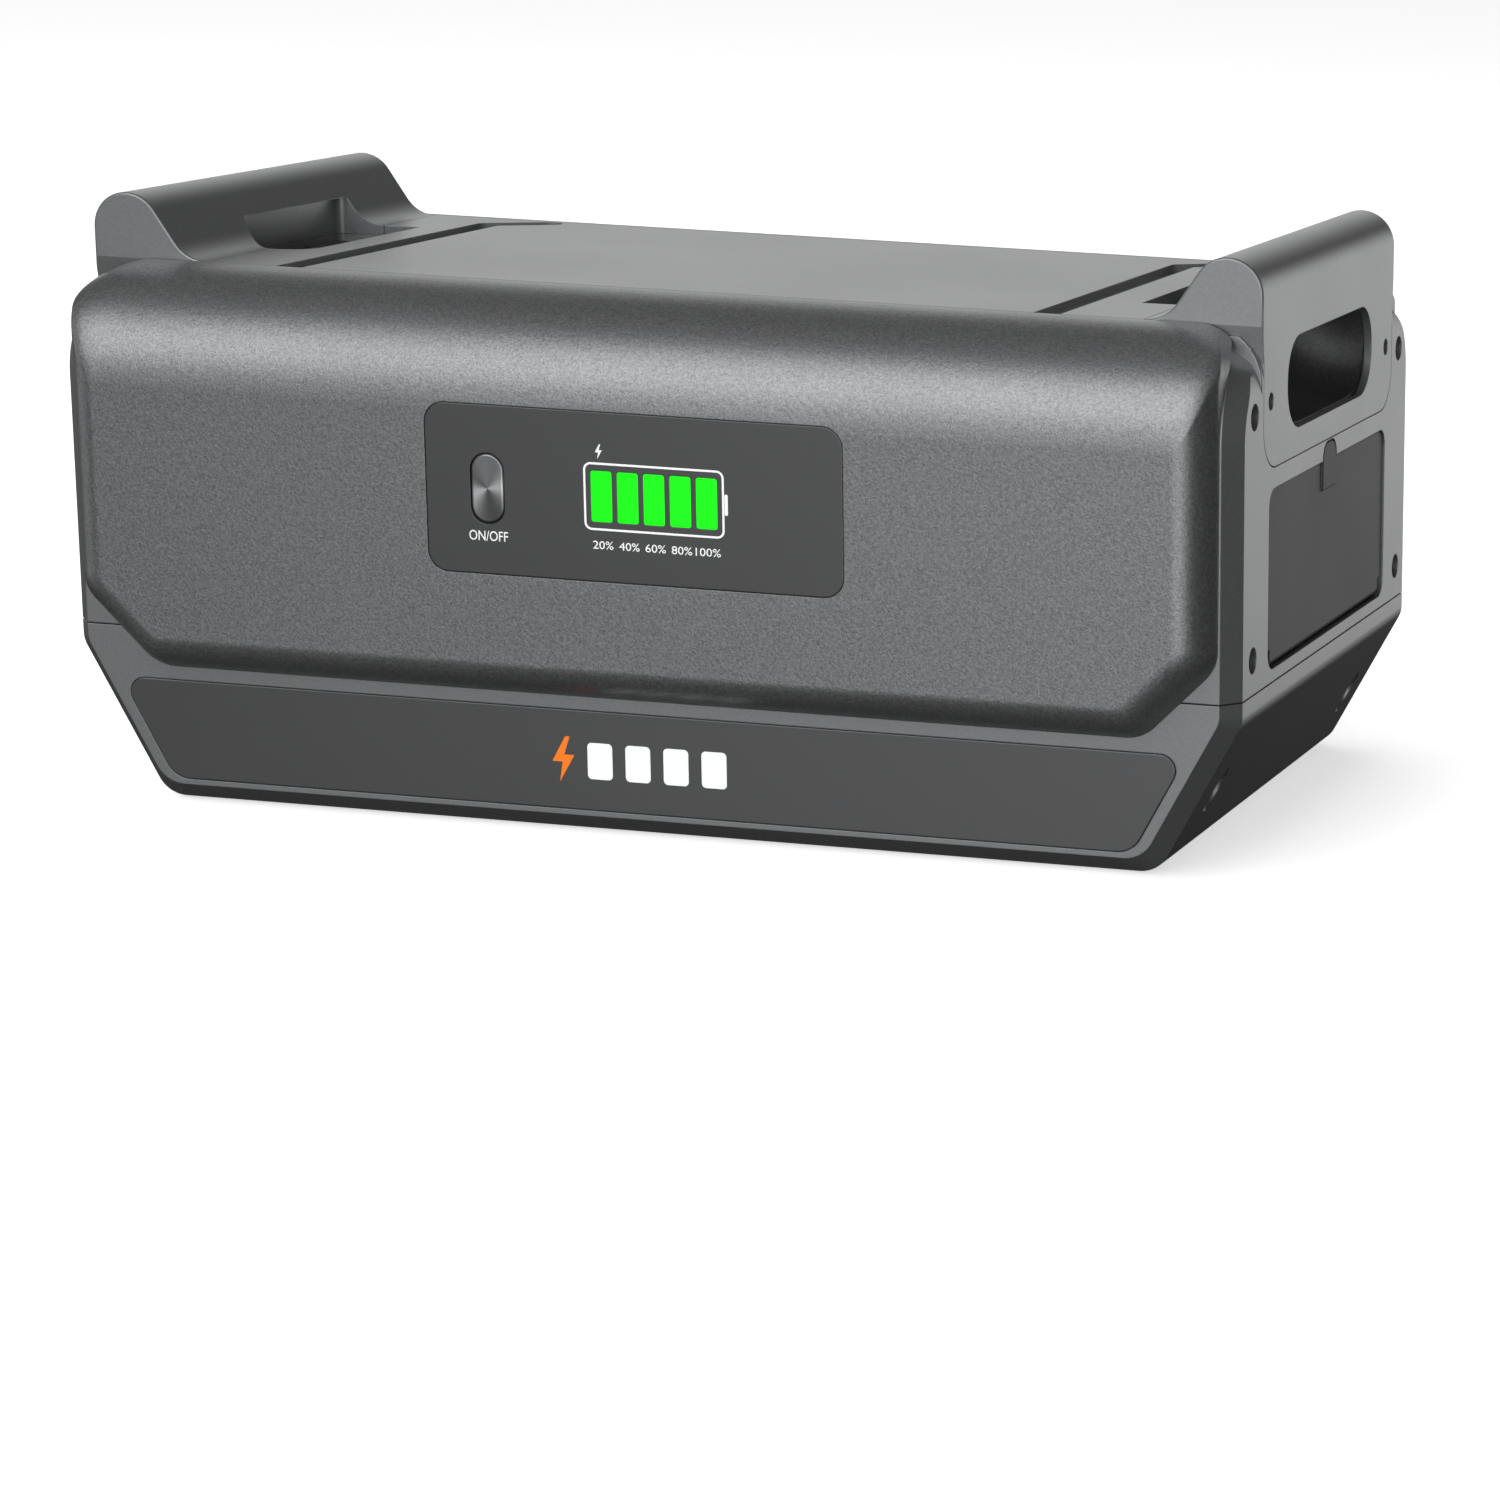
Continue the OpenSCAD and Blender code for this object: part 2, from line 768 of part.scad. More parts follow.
module socket_screws() {
    color([0.6, 0.6, 0.62])
    flange_screws() translate([tray_x0 + wall + 4.7, 0, 0]) rotate([0, -90, 0]) screw(2.6, 2, 1.5, 7);
}

// ---------- battery ----------

module cell() {
    block([row_gap, row_gap + cell_w], [-cell_t / 2 + cell_gap / 2, cell_t / 2 - cell_gap / 2], [cell_z0, cell_top]);
    for (share = terminal_share) rod_z(5, row_gap + share * cell_w, 0, cell_top - e, cell_top + 2.5);
}

module cell_row() { for (i = [0:cells_per_row - 1]) translate([0, (i + 0.5) * cell_t - pack_hl, 0]) cell(); }

module right_cells() { color([0.1, 0.35, 0.7]) cell_row(); }
module left_cells() { color([0.1, 0.35, 0.7]) mirror([1, 0, 0]) cell_row(); }

module end_plates() {
    color([0.75, 0.76, 0.77])
    four_corners() block([row_gap, row_gap + cell_w], [pack_hl + 0.1, pack_hl + 2.1], [cell_z0, cell_top - 4]);
}

module pack_straps() {
    color([0.65, 0.66, 0.68])
    for (z = [cell_z0 + 22, cell_top - 26]) difference() {
        block([-cell_w - row_gap - 1, cell_w + row_gap + 1], [-pack_hl - 3, pack_hl + 3], [z, z + 12]);
        block([-cell_w - row_gap - 0.2, cell_w + row_gap + 0.2], [-pack_hl - 2.2, pack_hl + 2.2], [z - 1, z + 13]);
    }
}

// Each bar joins the terminals of two neighbouring cells
module cell_busbars() {
    color([0.85, 0.5, 0.25])
    both_sides() for (k = [0:cells_per_row - 2])
        translate([row_gap + terminal_share[k % 2] * cell_w, (k + 1) * cell_t - pack_hl, cell_top + 3.4])
            cube([16, cell_t + 12, 1.6], center = true);
}

module insulation_sheet() {
    color([0.85, 0.85, 0.8])
    block([-cell_w, cell_w], [-pack_hl + 4, pack_hl - 4], [cell_top + 5, cell_top + 6]);
}

module bms_outline() { square([220, 120], center = true); }

module board_standoffs() {
    color([0.7, 0.7, 0.72])
    four_corners() translate([bms_hole.x, bms_hole.y, cell_top + 6.1]) difference() {
        cylinder(r = 3, h = 8);
        translate([0, 0, 2]) cylinder(r = 1.4, h = 8);
    }
}

module bms_board() {
    color([0.04, 0.28, 0.14])
    translate([0, 0, bms_z]) difference() {
        linear_extrude(bms_t) bms_outline();
        four_corners() translate([bms_hole.x, bms_hole.y, -1]) cylinder(r = 1.6, h = 4);
    }
}

module bms_components() {
    color([0.12, 0.12, 0.13])
    translate([0, 0, bms_top]) {
        for (i = [0:4]) translate([-70 + 24 * i, -40, 0]) cube([16, 16, 2.4]);
        for (i = [0:5]) translate([-80 + 14 * i, 34, 0]) cylinder(d = 9, h = 12);
        block([62, 86], [-14, 14], [0, 12]);
    }
}

module heat_sink() {
    color([0.75, 0.76, 0.78])
    translate([-60, -12, bms_top]) difference() {
        cube([100, 28, 14]);
        for (i = [0:5]) translate([-1, 2.5 + 4.3 * i, 3]) cube([102, 2.2, 12]);
    }
}

module main_fuse() {
    color([0.85, 0.85, 0.88])
    translate([0, 66, bms_top]) {
        block([-40, 40], [0, 26], [-9.6, -7]);
        rod_x(8, -22, 22, 13, 1.2);
        for (side = [-1, 1]) block([side * 29 - 9, side * 29 + 9], [4, 22], [-7.1, -3]);
    }
}

// Round cable through a list of points
module path(points, r) {
    for (i = [0:len(points) - 2]) hull()
        for (p = [points[i], points[i + 1]]) translate(p) sphere(r = r, $fn = 12);
}

// Rises beside the end cell, runs outside the straps and stops at the back of a socket
module power_cable(side, y) {
    r = 3.5;
    run_x = row_gap + cell_w + 1.5 + r;
    end_x = tray_x0 - socket_back - 0.2 - r;
    path([[row_gap + terminal_share[1] * cell_w, y, cell_top + 12], [run_x, y, cell_top + 12],
        [run_x, side * socket_y, socket_z], [end_x, side * socket_y, socket_z]], r);
}

module positive_cable() { color([0.75, 0.08, 0.06]) power_cable(1, 94); }
module negative_cable() { color([0.06, 0.06, 0.06]) power_cable(-1, -94); }

module cell_pads() {
    color([0.12, 0.12, 0.12])
    both_sides() for (y = [-60, 60])
        block([20, 130], [y - 30, y + 30], [base_z + wall + 0.2, cell_z0 - 0.2]);
}

// ---------- assembly ----------

base_shell();
upper_shell();
front_cover();
back_cover();
left_handle();
right_handle();
left_grip_scoop();
right_grip_scoop();
handle_screws();
case_screws();
base_screws();
foot_pads();
shell_gasket();
name_plate();
display_lens();
power_button();
button_guide();
power_switch();
charge_bars();
light_guide_holder();
display_board();
display_leds();
display_screws();
display_cable();
port_door();
door_pin();
port_tray();
expansion_sockets();
socket_contacts();
socket_screws();
left_cells();
right_cells();
end_plates();
pack_straps();
cell_busbars();
insulation_sheet();
bms_board();
bms_components();
heat_sink();
board_standoffs();
main_fuse();
positive_cable();
negative_cable();
cell_pads();
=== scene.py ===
"""Looks of the stackable expansion battery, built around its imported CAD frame.

Lengths in this script are millimetres in the frame's axes; MM turns them into Blender's metres.
"""
import math

import bmesh
import bpy
import numpy as np
from mathutils import Matrix, Vector


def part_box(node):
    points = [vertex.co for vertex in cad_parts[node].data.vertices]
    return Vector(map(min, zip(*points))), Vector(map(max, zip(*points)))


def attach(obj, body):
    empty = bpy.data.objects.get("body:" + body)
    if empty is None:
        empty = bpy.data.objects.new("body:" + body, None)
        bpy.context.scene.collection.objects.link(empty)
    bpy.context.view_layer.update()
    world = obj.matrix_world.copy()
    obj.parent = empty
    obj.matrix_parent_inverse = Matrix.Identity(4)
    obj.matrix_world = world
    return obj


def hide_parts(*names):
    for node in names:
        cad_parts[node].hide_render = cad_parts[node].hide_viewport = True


MM = 0.001

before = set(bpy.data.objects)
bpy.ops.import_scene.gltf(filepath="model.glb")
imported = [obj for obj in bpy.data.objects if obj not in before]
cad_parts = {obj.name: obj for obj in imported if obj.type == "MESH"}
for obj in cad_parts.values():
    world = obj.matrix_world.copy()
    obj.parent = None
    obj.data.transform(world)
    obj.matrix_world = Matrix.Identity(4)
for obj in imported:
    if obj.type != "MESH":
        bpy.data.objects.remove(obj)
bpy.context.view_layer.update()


# ---------- sizes taken from the frame ----------

def box_mm(node):
    """Lowest and highest corners of a CAD node, in millimetres."""
    low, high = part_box(node)
    return [c / MM for c in low], [c / MM for c in high]


SHELL_HIGH = box_mm("upper_shell")[1]
COVER_LOW, COVER_HIGH = box_mm("front_cover")
HANDLE_LOW, HANDLE_HIGH = box_mm("right_handle")
LENS_LOW, LENS_HIGH = box_mm("display_lens")
DOOR_LOW, DOOR_HIGH = box_mm("port_door")
PLATE_LOW, PLATE_HIGH = box_mm("name_plate")
BUTTON_LOW, BUTTON_HIGH = box_mm("power_button")
BARS_LOW, BARS_HIGH = box_mm("charge_bars")
BASE_LOW, BASE_HIGH = box_mm("base_shell")

HALF_W = SHELL_HIGH[0]
HALF_D = SHELL_HIGH[1]
TOP_Z = SHELL_HIGH[2]
FACE_Y = COVER_LOW[1]
RIDGE_Z = HANDLE_HIGH[2]
HANDLE_HL = HANDLE_HIGH[1]
BASE_Z = BASE_LOW[2]
SPLIT_Z = BASE_HIGH[2] + 0.2

WALL = 3.0
KNEE_Z = 58.0
FOOT_HW = 189.6  # half width that the sloping sides would have on the floor
SLANT = (HALF_W - FOOT_HW) / KNEE_Z
BEVEL_X = 6.3  # bevel between the front plane and a side plane, measured across
BEVEL_Y = 7.6  # and measured along the side
CORNER_R = 21.0  # upper side corners of the shell
RIM_R = 16.0  # upper side corners of a cover's rim
RIM_TILT = math.radians(30)  # how far a cover's side edge still leans where it meets the shell
CORE_TOP = TOP_Z - 4.9
CORE_ROLL = 35.6
COVER_ROLL = 41.5
COVER_EDGE = 13.5
SEAM_Y = -FACE_Y - COVER_ROLL
SEAM = 0.3
DECK_HL = SEAM_Y - SEAM
DECK_T = 5.5


# ---------- outlines ----------

def rounded(corners, steps=10):
    """Points of an outline whose corners are (u, v, radius); every corner gives steps + 1 points."""
    points = []
    count = len(corners)
    for k, (u, v, radius) in enumerate(corners):
        here = np.array((u, v), float)
        before = np.array(corners[k - 1][:2], float) - here
        after = np.array(corners[(k + 1) % count][:2], float) - here
        before /= np.linalg.norm(before)
        after /= np.linalg.norm(after)
        half = math.acos(np.clip(before @ after, -1, 1)) / 2
        middle = before + after
        centre = here + middle / np.linalg.norm(middle) * radius / math.sin(half)
        start = here + before * radius / math.tan(half) - centre
        end = here + after * radius / math.tan(half) - centre
        first = math.atan2(start[1], start[0])
        sweep = math.remainder(math.atan2(end[1], end[0]) - first, math.tau)
        for i in range(steps + 1):
            angle = first + sweep * i / steps
            points.append(centre + radius * np.array((math.cos(angle), math.sin(angle))))
    return np.array(points)


def inset(corners, distance):
    """An anticlockwise outline moved inwards by a distance, with its corner radii adjusted."""
    moved = []
    count = len(corners)
    for k, (u, v, radius) in enumerate(corners):
        here = np.array((u, v), float)
        into = here - np.array(corners[k - 1][:2], float)
        out = np.array(corners[(k + 1) % count][:2], float) - here
        into /= np.linalg.norm(into)
        out /= np.linalg.norm(out)
        left_in = np.array((-into[1], into[0]))
        left_out = np.array((-out[1], out[0]))
        here = here + distance * (left_in + left_out) / (1 + left_in @ left_out)
        convex = into[0] * out[1] - into[1] * out[0] > 0
        new_radius = radius - distance if convex else radius + distance
        moved.append((here[0], here[1], max(new_radius, 0.02)))
    return moved


def mirrored(right):
    """A left-right symmetric outline from the corners of its right half, bottom to top."""
    return list(right) + [(-u, v, r) for u, v, r in reversed(right)]


def centred(u, v, width, height, radius):
    """Corners of a rounded rectangle about (u, v)."""
    w, h = width / 2, height / 2
    return [(u - w, v - h, radius), (u + w, v - h, radius), (u + w, v + h, radius), (u - w, v + h, radius)]


def arc(centre, radius, first, last, steps):
    """Points along an arc, angles in degrees."""
    angles = [math.radians(first + (last - first) * i / steps) for i in range(steps + 1)]
    return [(centre[0] + radius * math.cos(a), centre[1] + radius * math.sin(a)) for a in angles]


def smooth(t):
    """Eases from 0 to 1 with level ends."""
    return t * t * (3 - 2 * t)


# ---------- meshes ----------

def placed(points, axis, t):
    """Puts a drawing at t along an axis: (u, v) is (x, z) for 'y', (y, z) for 'x' and (x, y) for 'z'."""
    u, v = np.asarray(points).T
    w = np.full_like(u, t)
    columns = {"x": (w, u, v), "y": (u, w, v), "z": (u, v, w)}[axis]
    return np.stack(columns, 1)


def add_object(name, mesh):
    obj = bpy.data.objects.new(name, mesh)
    bpy.context.scene.collection.objects.link(obj)
    return obj


def from_bmesh(name, bm):
    bmesh.ops.recalc_face_normals(bm, faces=bm.faces)
    mesh = bpy.data.meshes.new(name)
    bm.to_mesh(mesh)
    bm.free()
    return add_object(name, mesh)


def loft(name, rings, closed=False):
    """Skin through rings of equally many points (mm), with flat ends unless it closes on itself."""
    bm = bmesh.new()
    rows = [[bm.verts.new(Vector(p) * MM) for p in ring] for ring in rings]
    pairs = list(zip(rows, rows[1:]))
    if closed:
        pairs.append((rows[-1], rows[0]))
    for low, high in pairs:
        for i in range(len(low)):
            j = (i + 1) % len(low)
            bm.faces.new((low[i], low[j], high[j], high[i]))
    if not closed:
        bm.faces.new(rows[0][::-1])
        bm.faces.new(rows[-1])
    bmesh.ops.remove_doubles(bm, verts=bm.verts, dist=1e-7)
    return from_bmesh(name, bm)


def plate(name, corners, axis, back, front, edge=0.6, back_edge=0.0, steps=10, edge_steps=4):
    """A plate from back to front along an axis, whose rims are rounded by edge and back_edge."""
    way = 1 if front > back else -1
    rings = []
    if back_edge:
        for k in range(edge_steps + 1):
            a = math.pi / 2 * k / edge_steps
            level = back + way * back_edge * (1 - math.cos(a))
            rings.append(placed(rounded(inset(corners, back_edge * (1 - math.sin(a))), steps), axis, level))
    else:
        rings.append(placed(rounded(corners, steps), axis, back))
    if edge:
        for k in range(edge_steps + 1):
            a = math.pi / 2 * k / edge_steps
            level = front - way * edge * (1 - math.sin(a))
            rings.append(placed(rounded(inset(corners, edge * (1 - math.cos(a))), steps), axis, level))
    else:
        rings.append(placed(rounded(corners, steps), axis, front))
    return loft(name, rings)


def block(name, x, y, z):
    """A box between pairs of limits."""
    corners = [(x[0], y[0]), (x[1], y[0]), (x[1], y[1]), (x[0], y[1])]
    return loft(name, [placed(corners, "z", level) for level in z])


def rod(name, axis, centre, radius, low, high, steps=48):
    """A round rod along an axis; centre is given in that axis's drawing."""
    ring = arc(centre, radius, 0, 360 - 360 / steps, steps - 1)
    return loft(name, [placed(ring, axis, low), placed(ring, axis, high)])


def boolean(target, tool, operation):
    """Applies one boolean and removes the tool."""
    modifier = target.modifiers.new("cut", "BOOLEAN")
    modifier.operation = operation
    modifier.solver = "MANIFOLD"
    modifier.object = tool
    graph = bpy.context.evaluated_depsgraph_get()
    mesh = bpy.data.meshes.new_from_object(target.evaluated_get(graph))
    target.modifiers.clear()
    target.data = mesh
    bpy.data.objects.remove(tool)
    if not mesh.polygons:
        raise RuntimeError(f"{target.name}: {operation} left nothing")
    return target


def cut(target, *tools):
    for tool in tools:
        boolean(target, tool, "DIFFERENCE")
    return target


def join(target, *tools):
    for tool in tools:
        boolean(target, tool, "UNION")
    return target


def round_edges(obj, width, wanted, segments=3, angle=30):
    """Rounds the edges sharper than angle whose middle point (mm) satisfies wanted."""
    bm = bmesh.new()
    bm.from_mesh(obj.data)
    bmesh.ops.dissolve_limit(bm, angle_limit=math.radians(0.5), verts=bm.verts, edges=bm.edges)
    edges = []
    for e in bm.edges:
        middle = (e.verts[0].co + e.verts[1].co) / 2 / MM
        if len(e.link_faces) == 2 and e.calc_face_angle(0) > math.radians(angle) and wanted(middle):
            edges.append(e)
    bmesh.ops.bevel(bm, geom=edges, offset=width * MM, segments=segments, profile=0.5,
                    affect="EDGES", clamp_overlap=True, offset_type="OFFSET")
    bm.to_mesh(obj.data)
    bm.free()
    return obj


def finish_piece(obj, material, body="case", nodes=(), angle=28):
    """Shades, paints and mounts a piece on its body."""
    mesh = obj.data
    mesh.polygons.foreach_set("use_smooth", [True] * len(mesh.polygons))
    mesh.set_sharp_from_angle(angle=math.radians(angle))
    weighted = obj.modifiers.new("even_normals", "WEIGHTED_NORMAL")
    weighted.keep_sharp = True
    mesh.materials.clear()
    mesh.materials.append(material)
    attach(obj, body)
    if nodes:
        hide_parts(*nodes)
    return obj


# ---------- materials ----------

class Nodes:
    """Short hand for building a node tree."""

    def __init__(self, tree):
        self.tree = tree

    def add(self, kind, values=None, **settings):
        node = self.tree.nodes.new(kind)
        for key, value in settings.items():
            setattr(node, key, value)
        for key, value in (values or {}).items():
            if isinstance(value, bpy.types.NodeSocket):
                self.tree.links.new(value, node.inputs[key])
            else:
                node.inputs[key].default_value = value
        return node

    def noise(self, coords, scale, detail=2.0, rough=0.5):
        return self.add("ShaderNodeTexNoise", {"Vector": coords, "Scale": scale, "Detail": detail,
                                               "Roughness": rough}).outputs["Fac"]

    def maths(self, operation, a, b=0.5):
        return self.add("ShaderNodeMath", {0: a, 1: b}, operation=operation).outputs[0]

    def between(self, fac, low, high):
        node = self.add("ShaderNodeMapRange", {"Value": fac, "From Min": 0.0, "From Max": 1.0,
                                               "To Min": low, "To Max": high})
        return node.outputs[0]

    def mix_colour(self, fac, a, b):
        node = self.add("ShaderNodeMix", data_type="RGBA")
        for index, value in ((0, fac), (6, a), (7, b)):
            if isinstance(value, bpy.types.NodeSocket):
                self.tree.links.new(value, node.inputs[index])
            else:
                node.inputs[index].default_value = value
        return node.outputs[2]


def grey(level, tint=(0.985, 1.0, 1.02)):
    return tuple(level * t for t in tint) + (1.0,)


def new_material(name):
    material = bpy.data.materials.new(name)
    material.use_nodes = True
    tree = material.node_tree
    tree.nodes.clear()
    nodes = Nodes(tree)
    shader = nodes.add("ShaderNodeBsdfPrincipled")
    output = nodes.add("ShaderNodeOutputMaterial", {"Surface": shader.outputs[0]})
    coords = nodes.add("ShaderNodeTexCoord").outputs["Object"]
    return material, nodes, shader, coords, output


SOFT_EDGE_MM = 0.5


def moulded(name, colour, grain_mm, depth_mm, rough=0.45, speckle=0.12, coat=0.0, sheen=0.0):
    """Grained moulded plastic: two sizes of spark-eroded grain, faint clouding and worn, softened edges.

    The sheen is the share of metallic pigment in the paint.
    """
    material, nodes, shader, coords, _ = new_material(name)
    fine = nodes.noise(coords, 1 / (grain_mm * MM), 3.0, 0.6)
    coarse = nodes.noise(coords, 0.45 / (grain_mm * MM), 2.0, 0.5)
    cloud = nodes.noise(coords, 14.0, 3.0, 0.5)
    height = nodes.maths("ADD", nodes.maths("MULTIPLY", fine, 0.65), nodes.maths("MULTIPLY", coarse, 0.35))
    dark = tuple(c * (1 - speckle) for c in colour[:3]) + (1.0,)
    light = tuple(c * (1 + speckle) for c in colour[:3]) + (1.0,)
    peaks = nodes.add("ShaderNodeMapRange", {"Value": height, "From Min": 0.36, "From Max": 0.64}).outputs[0]
    tone = nodes.mix_colour(peaks, dark, light)
    clouded = nodes.mix_colour(nodes.between(cloud, 0.0, 0.06), tone, light)
    edge = nodes.add("ShaderNodeBevel", {"Radius": SOFT_EDGE_MM * MM}, samples=4).outputs[0]
    bump = nodes.add("ShaderNodeBump", {"Height": height, "Distance": depth_mm * MM, "Strength": 1.0,
                                        "Normal": edge}).outputs[0]
    roughness = nodes.between(nodes.maths("ADD", nodes.maths("MULTIPLY", coarse, 0.5),
                                          nodes.maths("MULTIPLY", cloud, 0.5)), rough - 0.07, rough + 0.07)
    for key, value in (("Base Color", clouded), ("Roughness", roughness), ("Normal", bump)):
        nodes.tree.links.new(value, shader.inputs[key])
    shader.inputs["Metallic"].default_value = sheen
    shader.inputs["Coat Weight"].default_value = coat
    return material


def turned_metal(name, colour, centre, rough=0.28):
    """Metal with a radially turned face: fine rings, and a bright sweep by angle painted into its colour as a
    painted highlight of the turned face's reflection, with painted shade between.
    """
    material, nodes, shader, coords, _ = new_material(name)
    local = nodes.add("ShaderNodeVectorMath", {0: coords, 1: tuple(c * MM for c in centre)},
                      operation="SUBTRACT").outputs[0]
    parts = nodes.add("ShaderNodeSeparateXYZ", {"Vector": local})
    x, z = parts.outputs["X"], parts.outputs["Z"]
    angle = nodes.maths("ARCTAN2", z, x)
    squares = nodes.maths("ADD", nodes.maths("MULTIPLY", x, x), nodes.maths("MULTIPLY", z, z))
    radius = nodes.maths("SQRT", squares)
    rings = nodes.add("ShaderNodeTexNoise", {"W": nodes.maths("MULTIPLY", radius, 9000.0), "Detail": 1.0,
                                             "Scale": 1.0}, noise_dimensions="1D").outputs["Fac"]
    # Painted highlight: the colour brightens by angle around the button's middle, standing in for the turned
    # face's reflection.
    painted_fan = nodes.maths("ADD", nodes.maths("MULTIPLY", nodes.maths("COSINE", nodes.maths(
        "SUBTRACT", nodes.maths("MULTIPLY", angle, 2.0), 0.55)), 0.5), 0.5)
    side = nodes.maths("ADD", nodes.maths("MULTIPLY", nodes.maths("COSINE", nodes.maths(
        "ADD", nodes.maths("MULTIPLY", angle, 3.0), 1.0)), 0.5), 0.5)
    sweep = nodes.maths("ADD", nodes.maths("MULTIPLY", nodes.maths("POWER", painted_fan, 2.2), 0.72),
                        nodes.maths("MULTIPLY", side, 0.28))
    # Painted shade: the colour darkens to this between the bright parts of the painted highlight.
    dark = tuple(c * 0.16 for c in colour[:3]) + (1.0,)
    tone = nodes.mix_colour(sweep, dark, colour)
    ringed = nodes.mix_colour(nodes.between(rings, 0.0, 0.35), tone, grey(0.08))
    bump = nodes.add("ShaderNodeBump", {"Height": rings, "Distance": 0.02 * MM}).outputs[0]
    for key, value in (("Base Color", ringed), ("Normal", bump)):
        nodes.tree.links.new(value, shader.inputs[key])
    shader.inputs["Metallic"].default_value = 0.85
    shader.inputs["Roughness"].default_value = rough
    return material


def plain_metal(name, colour, rough=0.35, grain_mm=0.3):
    """Plated or milled metal with fine directionless scratches."""
    material, nodes, shader, coords, _ = new_material(name)
    stretched = nodes.add("ShaderNodeMapping", {"Vector": coords, "Scale": (1.0, 0.12, 1.0)}).outputs[0]
    grain = nodes.noise(stretched, 1 / (grain_mm * MM), 3.0, 0.6)
    cloud = nodes.noise(coords, 60.0, 3.0, 0.5)
    dark = tuple(c * 0.82 for c in colour[:3]) + (1.0,)
    tone = nodes.mix_colour(grain, dark, colour)
    bump = nodes.add("ShaderNodeBump", {"Height": grain, "Distance": 0.02 * MM}).outputs[0]
    roughness = nodes.between(cloud, rough - 0.1, rough + 0.1)
    for key, value in (("Base Color", tone), ("Normal", bump), ("Roughness", roughness)):
        nodes.tree.links.new(value, shader.inputs[key])
    shader.inputs["Metallic"].default_value = 1.0
    return material


def printed(name, colour, painted_glow=0.0):
    """Screen-printed ink: nearly flat, with a faint mottle; the glow argument adds emission, painted light
    that brightens the ink.
    """
    material, nodes, shader, coords, _ = new_material(name)
    mottle = nodes.noise(coords, 4000.0, 2.0, 0.5)
    dark = tuple(c * 0.93 for c in colour[:3]) + (1.0,)
    tone = nodes.mix_colour(mottle, dark, colour)
    nodes.tree.links.new(tone, shader.inputs["Base Color"])
    shader.inputs["Roughness"].default_value = 0.5
    # Painted light: the ink emits its own colour, which brightens it.
    if painted_glow:
        nodes.tree.links.new(tone, shader.inputs["Emission Color"])
        shader.inputs["Emission Strength"].default_value = painted_glow
    return material


def lit_window(name, colour, low, high):
    """Translucent window lit from behind: brightest in the middle, softer at its ends."""
    material, nodes, shader, coords, _ = new_material(name)
    z = nodes.add("ShaderNodeSeparateXYZ", {"Vector": coords}).outputs["Z"]
    along = nodes.add("ShaderNodeMapRange", {"Value": z, "From Min": low * MM,
                                             "From Max": high * MM}).outputs[0]
    hump = nodes.maths("MULTIPLY", nodes.maths("MULTIPLY", along, nodes.maths("SUBTRACT", 1.0, along)), 4.0)
    grain = nodes.noise(coords, 2500.0, 2.0, 0.5)
    level = nodes.maths("ADD", nodes.between(hump, 0.88, 1.0), nodes.between(grain, -0.03, 0.03))
    shader.inputs["Base Color"].default_value = tuple(c * 0.3 for c in colour[:3]) + (1.0,)
    shader.inputs["Emission Color"].default_value = colour
    nodes.tree.links.new(level, shader.inputs["Emission Strength"])
    shader.inputs["Roughness"].default_value = 0.35
    return material


COVER_GREY = moulded("cover_plastic", grey(0.27), 0.60, 0.13, rough=0.34, speckle=0.30, sheen=0.78)
SHELL_GREY = moulded("shell_plastic", grey(0.30), 0.45, 0.035, rough=0.36, speckle=0.10, sheen=0.75)
# Partly the scoops' own dark plastic, partly painted shade: darkened further to stand for the shade inside
# the pockets; the port tray shares it.
DARK_GRAIN_AND_SHADE = moulded("dark_plastic", grey(0.09), 0.50, 0.08, rough=0.34, speckle=0.25, sheen=0.7)
DOOR_GREY = moulded("door_plastic", grey(0.068), 0.45, 0.025, rough=0.50, speckle=0.05, sheen=0.2)
PLATE_GREY = moulded("plate_plastic", grey(0.158), 0.35, 0.010, rough=0.36, speckle=0.03, sheen=0.88)
LENS_GREY = moulded("lens_acrylic", grey(0.120), 0.30, 0.006, rough=0.34, speckle=0.02, coat=0.1, sheen=0.8)
RUBBER = moulded("black_rubber", grey(0.018), 0.40, 0.05, rough=0.70, speckle=0.2)
WHITE_PLASTIC = moulded("white_plastic", grey(0.62), 0.5, 0.03, rough=0.5, speckle=0.04)
BOARD_GREEN = moulded("circuit_board", (0.012, 0.10, 0.045, 1), 0.5, 0.03, rough=0.35, speckle=0.15)
BLACK_PART = moulded("component_black", grey(0.03), 0.3, 0.02, rough=0.4, speckle=0.1)
CELL_BLUE = moulded("cell_film", (0.03, 0.12, 0.38, 1), 0.6, 0.02, rough=0.32, speckle=0.05, coat=0.3)
CABLE_RED = moulded("cable_red", (0.42, 0.02, 0.015, 1), 0.4, 0.02, rough=0.5, speckle=0.06)
CERAMIC = moulded("fuse_ceramic", (0.60, 0.58, 0.52, 1), 0.4, 0.02, rough=0.35, speckle=0.05)
STEEL = plain_metal("plain_steel", grey(0.55), 0.34)
BLACK_STEEL = plain_metal("black_steel", grey(0.05), 0.45)
ALUMINIUM = plain_metal("plain_aluminium", grey(0.72), 0.38)
BRASS = plain_metal("contact_brass", (0.78, 0.58, 0.22, 1), 0.25)
COPPER = plain_metal("busbar_copper", (0.80, 0.40, 0.22, 1), 0.3)
# Both inks are brightened by a faint emission, painted light.
INK_WHITE = printed("ink_white", (0.85, 0.86, 0.86, 1), painted_glow=0.25)
INK_ORANGE = printed("ink_orange", (0.90, 0.20, 0.01, 1), painted_glow=0.15)


# ---------- case ----------

def slope_x(z, i):
    """Half width of the sloping side at height z, moved in by i."""
    return FOOT_HW + SLANT * z - i * math.hypot(1, SLANT)


